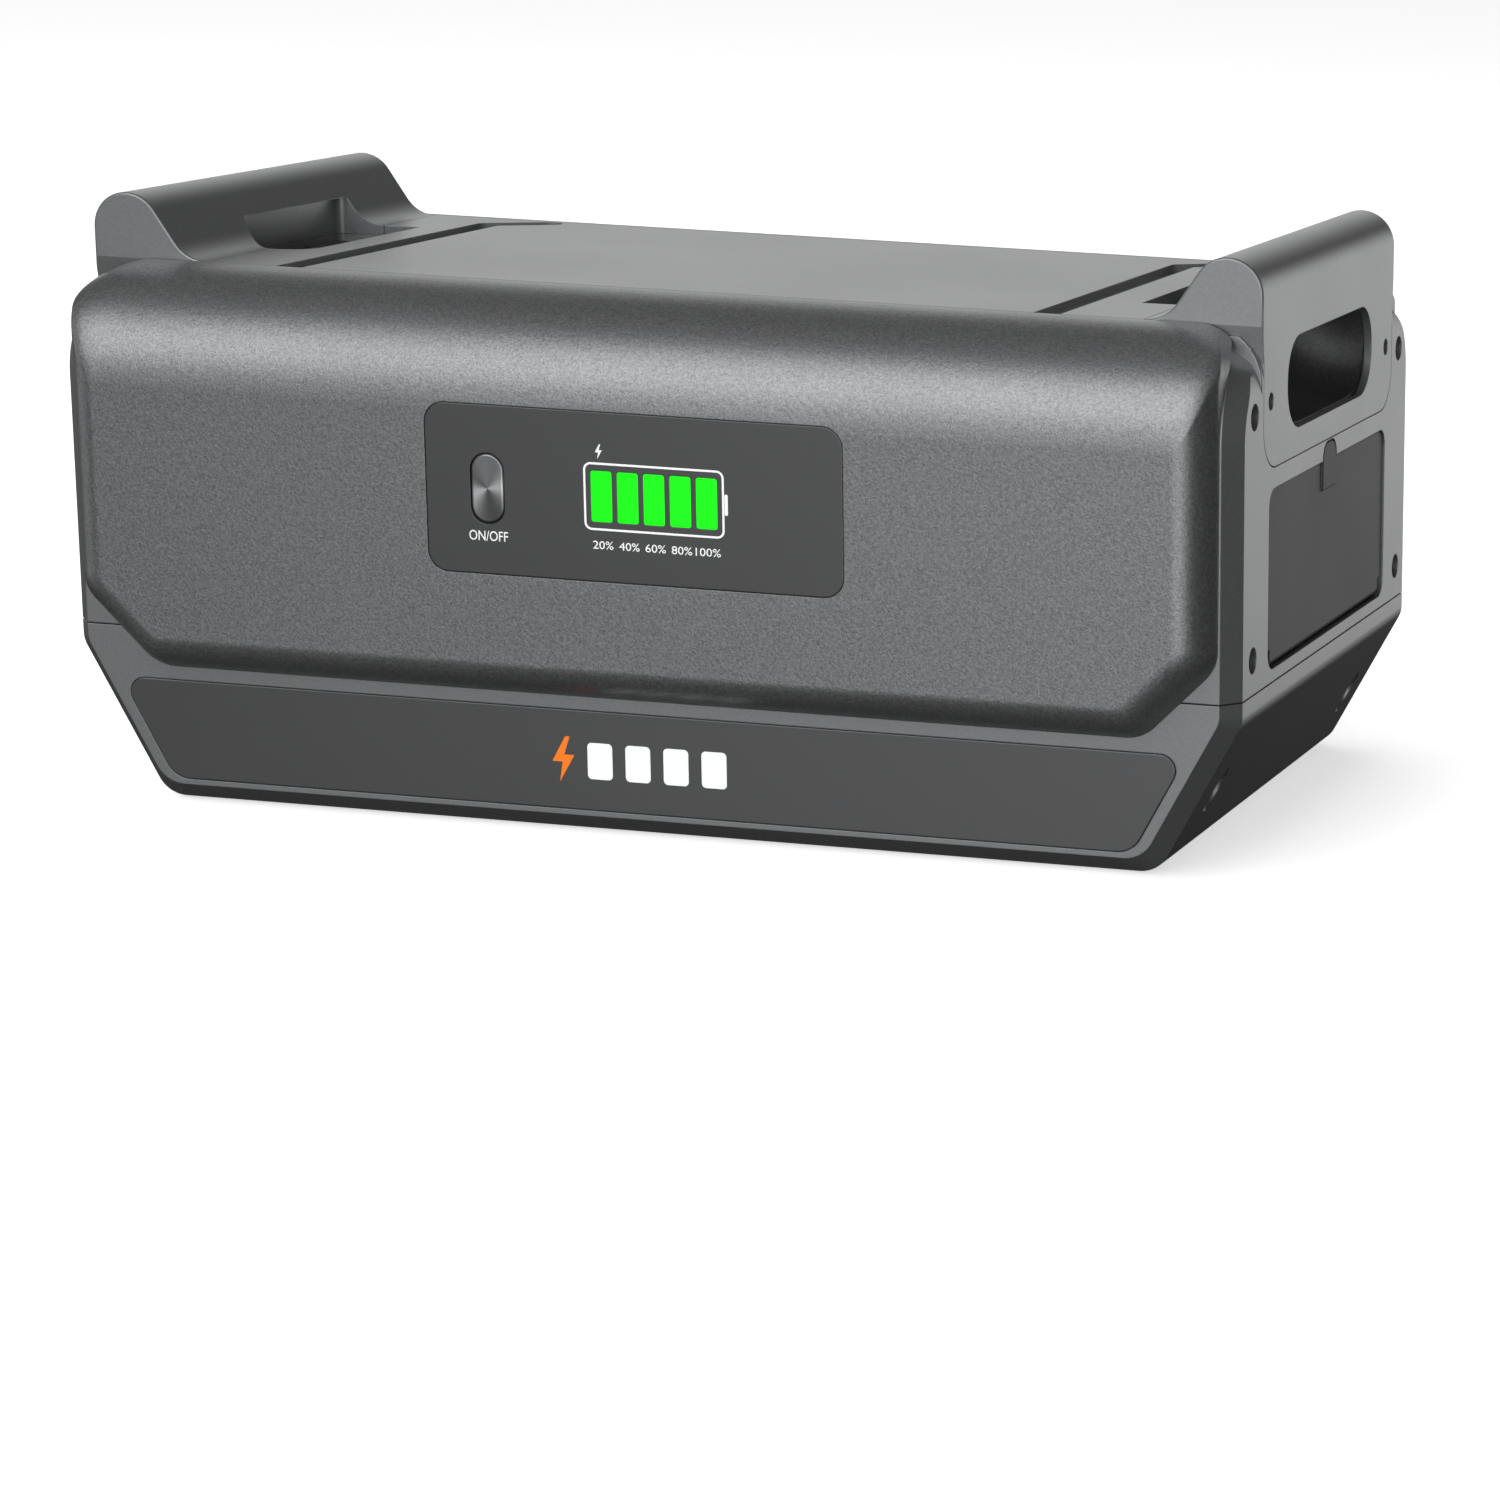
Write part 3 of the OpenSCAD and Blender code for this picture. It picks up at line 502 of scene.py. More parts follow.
def case_corners(i, roof):
    """Front view of the case, moved in by i, with its top at roof."""
    knee = (HALF_W - i - FOOT_HW + i * math.hypot(1, SLANT)) / SLANT
    bottom = BASE_Z + i
    side = HALF_W - i
    return mirrored([(slope_x(bottom, i), bottom, 12), (side, knee, 10), (side, roof, CORNER_R - i)])


def half_widths(points):
    """Widest reach of an outline at each of its heights, as sorted (v, u) pairs."""
    best = {}
    for u, v in points:
        key = round(float(v), 4)
        best[key] = max(best.get(key, 0.0), abs(float(u)))
    return sorted(best.items())


def reach(table, v):
    """Half width at height v, read between the rows of a half_widths table."""
    heights = [row[0] for row in table]
    return float(np.interp(v, heights, [row[1] for row in table]))


def crossed_prisms(front, side):
    """Points of the solid that has one outline from the front and one from the side."""
    across, along = half_widths(front), half_widths(side)
    low = max(across[0][0], along[0][0])
    high = min(across[-1][0], along[-1][0])
    levels = sorted({v for v, _ in across + along if low <= v <= high} | {low, high})
    signs = [(sx, sy) for sx in (-1, 1) for sy in (-1, 1)]
    return [(sx * reach(across, v), sy * reach(along, v), v) for v in levels for sx, sy in signs]


def core_side(i, steps):
    """Side view of the core, moved in by i."""
    d, top, r = HALF_D - i, CORE_TOP - i, CORE_ROLL - i
    return rounded([(-d, 0, 0.02), (d, 0, 0.02), (d, top, r), (-d, top, r)], steps)


def core(name, i, steps=20, soften=0.0):
    """Core of the case: side planes joined by a bevel to the front, top and back."""
    points = crossed_prisms(rounded(case_corners(BEVEL_X + i, CORE_TOP - i), steps), core_side(i, steps))
    points += crossed_prisms(rounded(case_corners(i, CORE_TOP - i), steps), core_side(BEVEL_Y + i, steps))
    bm = bmesh.new()
    for p in points:
        bm.verts.new(Vector(p) * MM)
    bmesh.ops.remove_doubles(bm, verts=bm.verts, dist=1e-6)
    hull = bmesh.ops.convex_hull(bm, input=bm.verts)
    spare = {g for g in hull["geom_interior"] + hull["geom_unused"] if isinstance(g, bmesh.types.BMVert)}
    bmesh.ops.delete(bm, geom=list(spare), context="VERTS")
    bmesh.ops.recalc_face_normals(bm, faces=bm.faces)
    bmesh.ops.dissolve_limit(bm, angle_limit=math.radians(0.6), verts=bm.verts, edges=bm.edges)
    if soften:
        edges = [e for e in bm.edges if e.calc_face_angle(0) > math.radians(24)]
        bmesh.ops.bevel(bm, geom=edges, offset=soften * MM, segments=2, profile=0.5, affect="EDGES",
                        clamp_overlap=True)
    return from_bmesh(name, bm)


def deck(name, i, below, y, edge):
    """Raised deck between the covers' seams, moved in by i and lowered by below."""
    corners = mirrored([(HALF_W - i, CORE_TOP - 60, 0.02), (HALF_W - i, TOP_Z - below, CORNER_R - i)])
    return plate(name, corners, "y", y, -y, edge, edge, steps=20)


def four_places(x, y):
    """The four mirror images of (x, y)."""
    return [(sx * x, sy * y) for sx in (-1, 1) for sy in (-1, 1)]


def slab(name, z0, z1):
    """A cutter wider than the case, between two heights."""
    reach_x, reach_y = HALF_W + 20, HALF_D + 20
    return block(name, (-reach_x, reach_x), (-reach_y, reach_y), (z0, z1))


BASE_SCREW = (204.8, 90.0)
BASE_SCREW_TOP = 46.0
PAD_PLACE = (160.0, 92.0)
PAD_SEAT_R = 12.1
PLATE_SEAT = 0.8
SPLIT_GAP = 0.25


def name_plate_corners(grow=0.0):
    return mirrored([(183 + grow, 10 - grow, 10), (203 + grow, 46.9 + grow, 6)])


def make_base():
    """Lower shell, with its screw bosses and the seats of the pads and the name plate."""
    shell = core("base_shell_visual", 0, soften=0.8)
    cut(shell, core("t", WALL), slab("t", SPLIT_Z - SPLIT_GAP, RIDGE_Z))
    for place in four_places(*BASE_SCREW):
        boss = rod("t", "z", place, 6.5, BASE_Z, BASE_SCREW_TOP + WALL)
        boss = boolean(boss, core("t2", 0.5), "INTERSECT")
        join(shell, boss)
        cut(shell, rod("t", "z", place, 4.5, -5, BASE_SCREW_TOP))
    for place in four_places(*PAD_PLACE):
        cut(shell, rod("t", "z", place, PAD_SEAT_R, -5, 2.5))
    cut(shell, plate("t", name_plate_corners(0.2), "y", -HALF_D + PLATE_SEAT, -HALF_D - 3, 0))
    round_edges(shell, 0.35, lambda p: abs(p.z - SPLIT_Z) < 0.6, segments=2)
    return finish_piece(shell, SHELL_GREY, nodes=["base_shell"])


BRACKET_T = 12.0
BRACKET_X = HALF_W - BRACKET_T
BRACKET_Z = HANDLE_LOW[2]
GRIP_Z = 189.0
RIDGE_R = 13.0
FLANK_DEG = 56.0
FLANK_R = 14.0
FOOT_T = 4.0
FOOT_X = HANDLE_LOW[0]
SCOOP = (HALF_W - 10.0, TOP_Z + 5.5)
SCOOP_R = 48.0
SCOOP_HL = 59.5
SCOOP_T = 2.5
CASE_SCREW_Y = 100.2
CASE_SCREW_Z = (78.8, 166.3)
HANDLE_SCREW = (79.9, 169.3)
FIN_OVERHANG = 2.3  # how far a handle's ends step out over the deck
FIN_Z = 184.0  # where the facet below that step starts
GROOVES_X = (142.0, -145.0)


def bracket_corners(grow=0.0, top=RIDGE_Z + 5):
    """Side view of a handle: its ends step out over the deck above a slanting facet."""
    y, z, fin = HANDLE_HL + grow, BRACKET_Z - grow, HANDLE_HL + FIN_OVERHANG + grow
    return mirrored([(y, z, 16), (y, FIN_Z, 0.3), (fin, TOP_Z - 0.3, 0.3), (fin, top, 0.02)])


def opening_corners(grow=0.0):
    """The hand opening in a bracket, seen from the side."""
    return mirrored([(58.5 + grow, 155 - grow, 16.5 + grow), (58.5 + grow, GRIP_Z + grow, 15.5 + grow)])


def hand_room(side, low, high):
    """Hand room behind a bracket, seen from above: pointed at one end and rounded at the other."""
    corners = [(163, -48, 0.3), (196, -45, 3), (196, 33, 14), (163, 57, 13)]
    turned = [(side * x, side * y, r) for x, y, r in corners]
    return plate("t", turned, "z", low, high, 0)


def sided(side, limits):
    """X limits on the right, or mirrored to the left."""
    return limits if side > 0 else (-limits[1], -limits[0])


def side_plate(name, corners, side, low, high, edge=0.0):
    """A plate facing outwards on the right side, or on the left."""
    back, front = (low, high) if side > 0 else (-low, -high)
    return plate(name, corners, "x", back, front, edge)


def deck_groove(x, tail_deg=52.0, bend_y=70.0, tail=24.0, width=10.0, depth=3.2):
    """Long groove beside a handle that turns towards +X at its back end."""
    radius = width / 2
    turned = math.radians(tail_deg)
    bend = (x, bend_y)
    tip = (x + tail * math.sin(turned), bend_y + tail * math.cos(turned))
    points = [(x - radius, -DECK_HL - 2), (x + radius, -DECK_HL - 2),
              (x + radius, bend_y - radius * math.tan(turned / 2))]
    points += arc(tip, radius, -tail_deg, 180 - tail_deg, 12)
    points += arc(bend, radius, 180 - tail_deg, 180, 6)
    return loft("t", [placed(points, "z", TOP_Z - depth), placed(points, "z", TOP_Z + 4)])


DOOR_TOP = 136.9


def door_corners(grow=0.0):
    """The door's leaf from the side."""
    z0, z1 = DOOR_LOW[2] - grow, DOOR_TOP + grow
    y = DOOR_HIGH[1] + grow
    return [(-y, z0, 7), (y, z0, 7), (y, z1, 7), (-y, z1, 7)]


TAB_HW = 9.3
TAB_TOP = DOOR_HIGH[2]
TAB_BOTTOM = 125.7


def tab_corners(grow=0.0):
    """The door's pull tab from the side."""
    w, z0, z1 = TAB_HW + grow, TAB_BOTTOM - grow, TAB_TOP + grow
    return [(-w, z0, 0.3), (w, z0, 0.3), (w, z1, 6.5), (-w, z1, 6.5)]


def scoop_room(side):
    """The room a scoop takes up, with a little play."""
    room = bowl("t", SCOOP_R + SCOOP_T + 0.15, SCOOP_HL + SCOOP_T + 0.15, HALF_W - LIP_T, SCOOP_ROOF + 0.1)
    if side < 0:
        turn_mesh(room)
    return room


def cut_side(shell, side):
    """Pockets, openings and screw recesses in one side of the upper shell."""
    seat_wall = block("t", sided(side, (BRACKET_X - WALL, HALF_W - 4)), (-DECK_HL, DECK_HL),
                      (BRACKET_Z - WALL, TOP_Z - 8))
    seat_floor = block("t", sided(side, (160, HALF_W - 12)), (-DECK_HL + 1, DECK_HL - 1),
                       (TOP_Z - FOOT_T - WALL, TOP_Z - 2))
    join(shell, seat_wall, seat_floor)
    for z in CASE_SCREW_Z:
        for y in (-CASE_SCREW_Y, CASE_SCREW_Y):
            join(shell, rod("t", "x", (y, z), 7, *sided(side, (HALF_W - 19, HALF_W - 1))))
            cut(shell, rod("t", "x", (y, z), 4.8, *sided(side, (HALF_W - 16, HALF_W + 3))))
    cut(shell,
        side_plate("t", bracket_corners(0.3), side, BRACKET_X - 0.1, HALF_W + 3),
        block("t", sided(side, (FOOT_X - 0.2, HALF_W + 3)), (-DECK_HL - 2, DECK_HL + 2),
              (TOP_Z - FOOT_T - 0.1, TOP_Z + 4)),
        side_plate("t", opening_corners(2), side, BRACKET_X - 12, HALF_W + 3), scoop_room(side),
        hand_room(side, 175, TOP_Z + 4))


def make_upper():
    """Upper shell with the raised deck, its grooves and the door's seat."""
    shell = core("upper_shell_visual", 0, soften=0.8)
    join(shell, deck("t", 0, 0, DECK_HL, 0.5))
    cut(shell, core("t", WALL), deck("t", WALL, DECK_T, DECK_HL - WALL, 0))
    cut(shell, slab("t", -5, SPLIT_Z + SPLIT_GAP))
    for side in (-1, 1):
        cut_side(shell, side)
    cut(shell, *[deck_groove(x) for x in GROOVES_X],
        side_plate("t", door_corners(0.35), 1, HALF_W - 8, HALF_W + 3),
        side_plate("t", tab_corners(0.35), 1, HALF_W - 8, HALF_W + 3),
        rod("t", "y", (20, (LENS_LOW[2] + LENS_HIGH[2]) / 2), 7, -HALF_D - 3, -HALF_D + 5))
    round_edges(shell, 0.35, lambda p: abs(p.z - SPLIT_Z) < 0.6, segments=2)
    return finish_piece(shell, SHELL_GREY, nodes=["upper_shell"])


# ---------- covers ----------

def core_front_y(z):
    """How far forward the core's face reaches at height z, with the seam around it."""
    centre_z = CORE_TOP - CORE_ROLL
    radius = CORE_ROLL + SEAM
    if z <= centre_z:
        return HALF_D + SEAM
    rise = min(z - centre_z, radius)
    return HALF_D - CORE_ROLL + math.sqrt(radius * radius - rise * rise)


def cover_ring(thickness, turn, steps=14, skirt=False):
    """One ring of a cover's outer face (thickness 0) or inner face.

    Turn runs from the rim (0) to the flat face (1). The skirt follows the shell's roll behind the rim.
    """
    a = math.pi / 2 * turn
    edge, roll = COVER_EDGE - thickness, COVER_ROLL - thickness
    tilted = RIM_TILT + (math.pi / 2 - RIM_TILT) * turn
    side_in = thickness + edge * (1 - math.cos(tilted) / math.cos(RIM_TILT))
    top_in = thickness + roll * (1 - math.cos(a))
    front = -FACE_Y - thickness
    side_y = front - edge * (1 - math.sin(tilted)) / (1 - math.sin(RIM_TILT))
    top_y = front - roll * (1 - math.sin(a))
    hw, low, chamfer = COVER_HIGH[0] + 1.2, COVER_LOW[2], 27.5
    corner = RIM_R * math.cos(a) + 5 * math.sin(2 * a) + 1.5 * (1 - math.cos(a))
    soft = max(15 - side_in * 0.6, 4)
    right = [(hw - chamfer - 0.41 * side_in, low + side_in, soft),
             (hw - side_in, low + chamfer + 0.41 * side_in, soft),
             (hw - side_in, TOP_Z - top_in, corner)]
    points = rounded(mirrored(right), steps)
    first_top = 2 * (steps + 1)
    ring = []
    for k, (x, z) in enumerate(points):
        share = np.clip((k - first_top) / steps, 0, 1) if k < 3 * (steps + 1) else np.clip(
            (4 * (steps + 1) - 1 - k) / steps, 0, 1)
        y = side_y + (top_y - side_y) * smooth(share)
        if skirt:
            y = min(y, max(core_front_y(z), SEAM_Y))
        ring.append((x, -y, z))
    return ring


def make_cover(name, back, nodes):
    """Padded cover: a shell whose edges are rounded tightly at the sides and rolled over at the top."""
    turns = 16
    outer = [cover_ring(0, 0, skirt=True)] + [cover_ring(0, k / turns) for k in range(turns + 1)]
    inner = [cover_ring(WALL, 0, skirt=True)] + [cover_ring(WALL, k / turns) for k in range(turns + 1)]
    rings = outer[::-1] + inner
    flip = 1 if not back else -1
    rings = [[(x, flip * y, z) for x, y, z in ring] for ring in rings]
    cover = loft(name, rings)
    if not back:
        lens = lens_corners(0.2)
        cut(cover, plate("t", lens, "y", FACE_Y + 1.4, FACE_Y - 3, 0),
            plate("t", inset(lens, 9), "y", FACE_Y + 6, FACE_Y - 3, 0))
    return finish_piece(cover, COVER_GREY, nodes=nodes, angle=35)


# ---------- handles ----------

def handle_corner_points():
    """Section of the right handle: outer flank, round ridge, and inner flank that runs out along the deck."""
    ridge = (HALF_W - RIDGE_R, RIDGE_Z - RIDGE_R)
    return ([(HALF_W, BRACKET_Z)] + arc(ridge, RIDGE_R, 0, 90 + FLANK_DEG, 22)
            + arc((FOOT_X, TOP_Z + FLANK_R), FLANK_R, FLANK_DEG - 90, -90, 14)
            + [(FOOT_X, TOP_Z - FOOT_T), (BRACKET_X + 0.15, TOP_Z - FOOT_T), (BRACKET_X + 0.15, BRACKET_Z)])


def handle_rings(edge=0.9, steps=4):
    """Rings along the handle, drawn in at both ends for rounded rims."""
    section = [(u, v, 0.0) for u, v in handle_corner_points()]
    rings = []
    for end in (-1, 1):
        rows = []
        for k in range(steps + 1):
            a = math.pi / 2 * k / steps
            shrunk = [c[:2] for c in inset(section, edge * (1 - math.cos(a)))]
            rows.append(placed(shrunk, "y", end * (HANDLE_HL + FIN_OVERHANG - edge * (1 - math.sin(a)))))
        rings += rows[::-1] if end < 0 else rows
    return rings


GRIP_TOP = RIDGE_Z - 13.0
LIP_T = 3.0


def grip_cutter():
    """Hand room under the grip bar of the right handle, behind the bracket."""
    drawing = [(BRACKET_X + 6, GRIP_Z - 6, 0.02), (BRACKET_X + 6, GRIP_Z + 1, 1.0),
               (HALF_W - 24, GRIP_TOP, 4.0), (HALF_W - 60, GRIP_TOP, 0.02), (HALF_W - 60, GRIP_Z - 6, 0.02)]
    return boolean(plate("t", drawing, "y", 60, -60, 0), hand_room(1, GRIP_Z - 8, RIDGE_Z), "INTERSECT")


def near_opening(p):
    """True for the rims of the hand opening of the right handle."""
    in_bracket = abs(p.y) < 59.5 and 154 < p.z < GRIP_Z + 1 and p.x > HALF_W - 0.5
    on_flank = abs(p.y) < 57.5 and p.z > TOP_Z - 1 and p.x < HALF_W - 2
    return in_bracket or on_flank


def make_handle(side, name, node):
    """Arch handle with its bracket, built on the right and turned round for the left."""
    handle = loft(name, handle_rings())
    boolean(handle, plate("t", bracket_corners(), "x", HALF_W - 60, HALF_W + 6, 0), "INTERSECT")
    pocket = bowl("t", SCOOP_R + SCOOP_T + 0.15, SCOOP_HL + SCOOP_T + 0.15, HALF_W - LIP_T, SCOOP_ROOF)
    cut(handle, plate("t", opening_corners(), "x", BRACKET_X - 14, HALF_W + 6, 0), pocket, grip_cutter())
    for y in (-HANDLE_SCREW[0], HANDLE_SCREW[0]):
        cut(handle, rod("t", "x", (y, HANDLE_SCREW[1]), 3.2, HALF_W - 6, HALF_W + 3))
    round_edges(handle, 1.3, near_opening, segments=3, angle=35)
    if side < 0:
        turn_mesh(handle)
    return finish_piece(handle, SHELL_GREY, nodes=[node], angle=40)


def turn_mesh(obj):
    """Turn a mesh half a turn about the upright axis, from the right side to the left."""
    obj.data.transform(Matrix.Rotation(math.pi, 4, "Z"))


SCOOP_REACH = HALF_W - LIP_T - 0.2
SCOOP_ROOF = TOP_Z - FOOT_T - WALL - 0.2


def scoop_section(radius, reach_x, roof):
    """Round pocket below the deck, cut off by the side wall and the deck."""
    start = math.degrees(math.acos((reach_x - SCOOP[0]) / radius))
    end = math.degrees(math.asin((roof - SCOOP[1]) / radius))
    return arc(SCOOP, radius, -start, -180 - end, 28) + [(reach_x, roof)]


def bowl(name, radius, half_length, reach_x, roof, stations=28):
    """A scoop whose radius shrinks towards both ends."""
    rings = []
    for k in range(stations + 1):
        t = math.sin(math.pi / 2 * (2 * k / stations - 1))
        shrunk = radius * (0.42 + 0.58 * (1 - abs(t) ** 8) ** 0.5)
        rings.append(placed(scoop_section(shrunk, reach_x, roof), "y", -t * half_length))
    return loft(name, rings)


def make_scoop(side, name, node):
    """Curved pocket behind a hand opening."""
    body = bowl(name, SCOOP_R + SCOOP_T, SCOOP_HL + SCOOP_T, SCOOP_REACH, SCOOP_ROOF)
    cut(body, bowl("t", SCOOP_R, SCOOP_HL, SCOOP_REACH + 3, SCOOP_ROOF + 4))
    if side < 0:
        turn_mesh(body)
    # The scoop's dark colour is partly painted shade for the inside of the pocket.
    return finish_piece(body, DARK_GRAIN_AND_SHADE, nodes=[node], angle=50)


# ---------- front details ----------

def make_name_plate():
    corners = name_plate_corners()
    piece = plate("name_plate_visual", corners, "y", PLATE_HIGH[1], PLATE_LOW[1], 0.35)
    return finish_piece(piece, PLATE_GREY, nodes=["name_plate"])


def lens_corners(grow=0.0):
    """Outline of the display's window."""
    return centred((LENS_LOW[0] + LENS_HIGH[0]) / 2, (LENS_LOW[2] + LENS_HIGH[2]) / 2,
                   LENS_HIGH[0] - LENS_LOW[0] + 2 * grow, LENS_HIGH[2] - LENS_LOW[2] + 2 * grow, 7.5 + grow)


BUTTON_X = (BUTTON_LOW[0] + BUTTON_HIGH[0]) / 2
BUTTON_Z = (BUTTON_LOW[2] + BUTTON_HIGH[2]) / 2
BUTTON_W = 12.1
BUTTON_H = 25.0
BAR_COUNT = 5
BAR_W = 7.8
BAR_PITCH = (BARS_HIGH[0] - BARS_LOW[0] - BAR_W) / (BAR_COUNT - 1)
BAR_Z0 = BARS_LOW[2]
BAR_Z1 = BARS_HIGH[2]


def bar_x(k):
    """Middle of the charge bar number k, from the left."""
    return BARS_LOW[0] + BAR_W / 2 + k * BAR_PITCH


def pill_corners(width, height):
    return centred(BUTTON_X, BUTTON_Z, width, height, width / 2 - 0.01)


def make_lens():
    lens = plate("display_lens_visual", lens_corners(), "y", LENS_HIGH[1], LENS_LOW[1], 0.3)
    cut(lens, plate("t", pill_corners(BUTTON_W + 0.7, BUTTON_H + 0.7), "y", FACE_Y + 3, FACE_Y - 3, 0))
    for k in range(BAR_COUNT):
        hole = centred(bar_x(k), (BAR_Z0 + BAR_Z1) / 2, BAR_W + 0.1, BAR_Z1 - BAR_Z0 + 0.1, 0.95)
        cut(lens, plate("t", hole, "y", FACE_Y + 3, FACE_Y - 3, 0))
    return finish_piece(lens, LENS_GREY, nodes=["display_lens"])


def make_button():
    material = turned_metal("button_metal", grey(0.86), (BUTTON_X, FACE_Y, BUTTON_Z))
    cap = plate("power_button_cap", pill_corners(BUTTON_W, BUTTON_H), "y", FACE_Y + 3, FACE_Y, 0.9, steps=20)
    finish_piece(cap, material, body="power_button")
    flange = plate("power_button_flange", pill_corners(BUTTON_W + 3, BUTTON_H + 3), "y",
                   FACE_Y + 2.9, FACE_Y + 1.45, 0.2)
    join(flange, plate("t", centred(BUTTON_X, BUTTON_Z, 5, 8, 2.4), "y", BUTTON_HIGH[1], FACE_Y + 2.5, 0))
    finish_piece(flange, BLACK_PART, body="power_button", nodes=["power_button"])
    return cap


def make_bars():
    material = lit_window("bar_green", (0.0, 1.0, 0.0, 1), BAR_Z0, BAR_Z1)
    for k in range(BAR_COUNT):
        corners = centred(bar_x(k), (BAR_Z0 + BAR_Z1) / 2, BAR_W, BAR_Z1 - BAR_Z0, 0.9)
        bar = plate(f"charge_bar_{k + 1}", corners, "y", BARS_HIGH[1], FACE_Y - 0.02, 0.15)
        finish_piece(bar, material, nodes=["charge_bars"] if k == 0 else ())


INK_Y = FACE_Y - 0.02
INK_T = 0.06


def frame_ring(name, corners, stroke):
    """A printed outline of constant stroke."""
    outer, inner = rounded(corners), rounded(inset(corners, stroke))
    return loft(name, [placed(outer, "y", INK_Y), placed(inner, "y", INK_Y),
                       placed(inner, "y", INK_Y - INK_T), placed(outer, "y", INK_Y - INK_T)], closed=True)


def ink_plate(name, corners, material=INK_WHITE, y=None):
    """Printed patch; corners are (u, v), or (u, v, radius) where they are rounded."""
    level = INK_Y if y is None else y
    outline = corners if len(corners[0]) == 2 else rounded(corners, 5)
    piece = loft(name, [placed(outline, "y", level), placed(outline, "y", level - INK_T)])
    return finish_piece(piece, material)


def bolt_points(u, v, height):
    """Outline of a lightning bolt about (u, v)."""
    shape = [(0.05, 0.5), (-0.25, -0.06), (-0.02, -0.06), (-0.09, -0.5), (0.25, 0.10), (0.02, 0.10),
             (0.15, 0.5)]
    return [(u + a * height, v + b * height) for a, b in shape]


def ink_text(name, words, u, v, height, width):
    """Printed generic words or numbers, centred on (u, v) and stretched to a width."""
    curve = bpy.data.curves.new(name, "FONT")
    curve.body = words
    curve.align_x = "CENTER"
    curve.align_y = "CENTER"
    curve.size = 1.0
    curve.extrude = 0.5
    curve.resolution_u = 3
    source = bpy.data.objects.new(name + "_source", curve)
    bpy.context.scene.collection.objects.link(source)
    graph = bpy.context.evaluated_depsgraph_get()
    mesh = bpy.data.meshes.new_from_object(source.evaluated_get(graph))
    bpy.data.objects.remove(source)
    co = np.array([p.co for p in mesh.vertices])
    low, high = co.min(0), co.max(0)
    scale_u, scale_v = width / (high[0] - low[0]), height / (high[1] - low[1])
    centre = (low + high) / 2
    for vertex in mesh.vertices:
        a, b, c = vertex.co
        across, up = u + (a - centre[0]) * scale_u, v + (b - centre[1]) * scale_v
        vertex.co = Vector((across, INK_Y - INK_T * (0.5 + c), up)) * MM
    bm = bmesh.new()
    bm.from_mesh(mesh)
    bpy.data.meshes.remove(mesh)
    bmesh.ops.remove_doubles(bm, verts=bm.verts, dist=1e-7)
    return finish_piece(from_bmesh(name, bm), INK_WHITE)


LABEL_Z = 111.4
LEVEL_Z = 110.9


def make_markings():
    """Battery outline round the bars, a bolt above them, and the labels below."""
    mid_z = (BAR_Z0 + BAR_Z1) / 2
    outline = centred(bar_x(2), mid_z, 52.3, 24.3, 2.8)
    finish_piece(frame_ring("battery_outline", outline, 0.75), INK_WHITE)
    ink_plate("battery_nub", centred(bar_x(2) + 26.9, mid_z, 1.2, 7.5, 0.4))
    ink_plate("charge_bolt", bolt_points(bar_x(0) - 0.7, BAR_Z1 + 7.0, 5.2))
    ink_text("button_words", "ON/OFF", BUTTON_X, LABEL_Z, 3.6, 14.6)
    for k in range(BAR_COUNT):
        share = 20 * (k + 1)
        width = 9.4 if share == 100 else 7.6
        ink_text(f"level_{share}", f"{share}%", bar_x(k) + 0.3, LEVEL_Z, 2.9, width)


MARK_Z = 28.5


def make_mark():
    """Generic mark in the middle of the name plate: a bolt and four plain bars."""
    y = PLATE_LOW[1] - 0.01
    ink_plate("plate_bolt", bolt_points(-31, MARK_Z, 17), INK_ORANGE, y)
    for k in range(4):
        ink_plate(f"plate_bar_{k + 1}", centred(-17 + 14.5 * k, MARK_Z, 9.5, 13.5, 1.6), INK_WHITE, y)


# ---------- side door ----------

HINGE_R = 3.0
PIN_HOLE_R = 1.25
LEAF_T = 3.0
TAB_T = 2.4


def make_door():
    """Door leaf with a barrel along its lower edge, and the raised pull tab."""
    face_x = HALF_W - 0.8
    hinge_x, hinge_z = face_x - HINGE_R, DOOR_LOW[2] + HINGE_R
    leaf = side_plate("port_door_visual", door_corners(), 1, face_x - LEAF_T, face_x, 0.5)
    hw = DOOR_HIGH[1] - 5
    cut(leaf, block("t", (face_x - 9, face_x + 5), (-100, 100), (60, hinge_z)))
    for end in (-1, 1):
        limits = sided(end, (hw, hw + 9))
        cut(leaf, block("t", (face_x - 9, face_x + 5), limits, (60, hinge_z + HALF_W - hinge_x + SEAM)))
    join(leaf, rod("t", "y", (hinge_x, hinge_z), HINGE_R, -hw, hw))
    cut(leaf, rod("t", "y", (hinge_x, hinge_z), PIN_HOLE_R, -hw - 9, hw + 9))
    finish_piece(leaf, DOOR_GREY, body="port_door", nodes=["port_door"])
    tab = side_plate("port_door_tab", tab_corners(), 1, HALF_W - TAB_T, HALF_W, 0.9)
    finish_piece(tab, DOOR_GREY, body="port_door")


PAD_PROFILE = [(11.4, 2.4), (12, 2.2), (12, 0.9), (11.6, 0.3), (10.8, 0.0), (9.4, 0.0), (8.9, 0.35),
               (7.6, 0.35), (7.1, 0.0)]


def make_pads():
    """Four turned rubber feet, with a ring groove in the sole."""
    for k, place in enumerate(four_places(*PAD_PLACE)):
        rings = [placed(arc(place, r, 0, 360 - 360 / 40, 39), "z", z) for r, z in PAD_PROFILE]
        pad = loft(f"foot_pad_{k + 1}", rings)
        finish_piece(pad, RUBBER, nodes=["foot_pads"] if k == 0 else ())


# ---------- materials of the CAD nodes that stay ----------

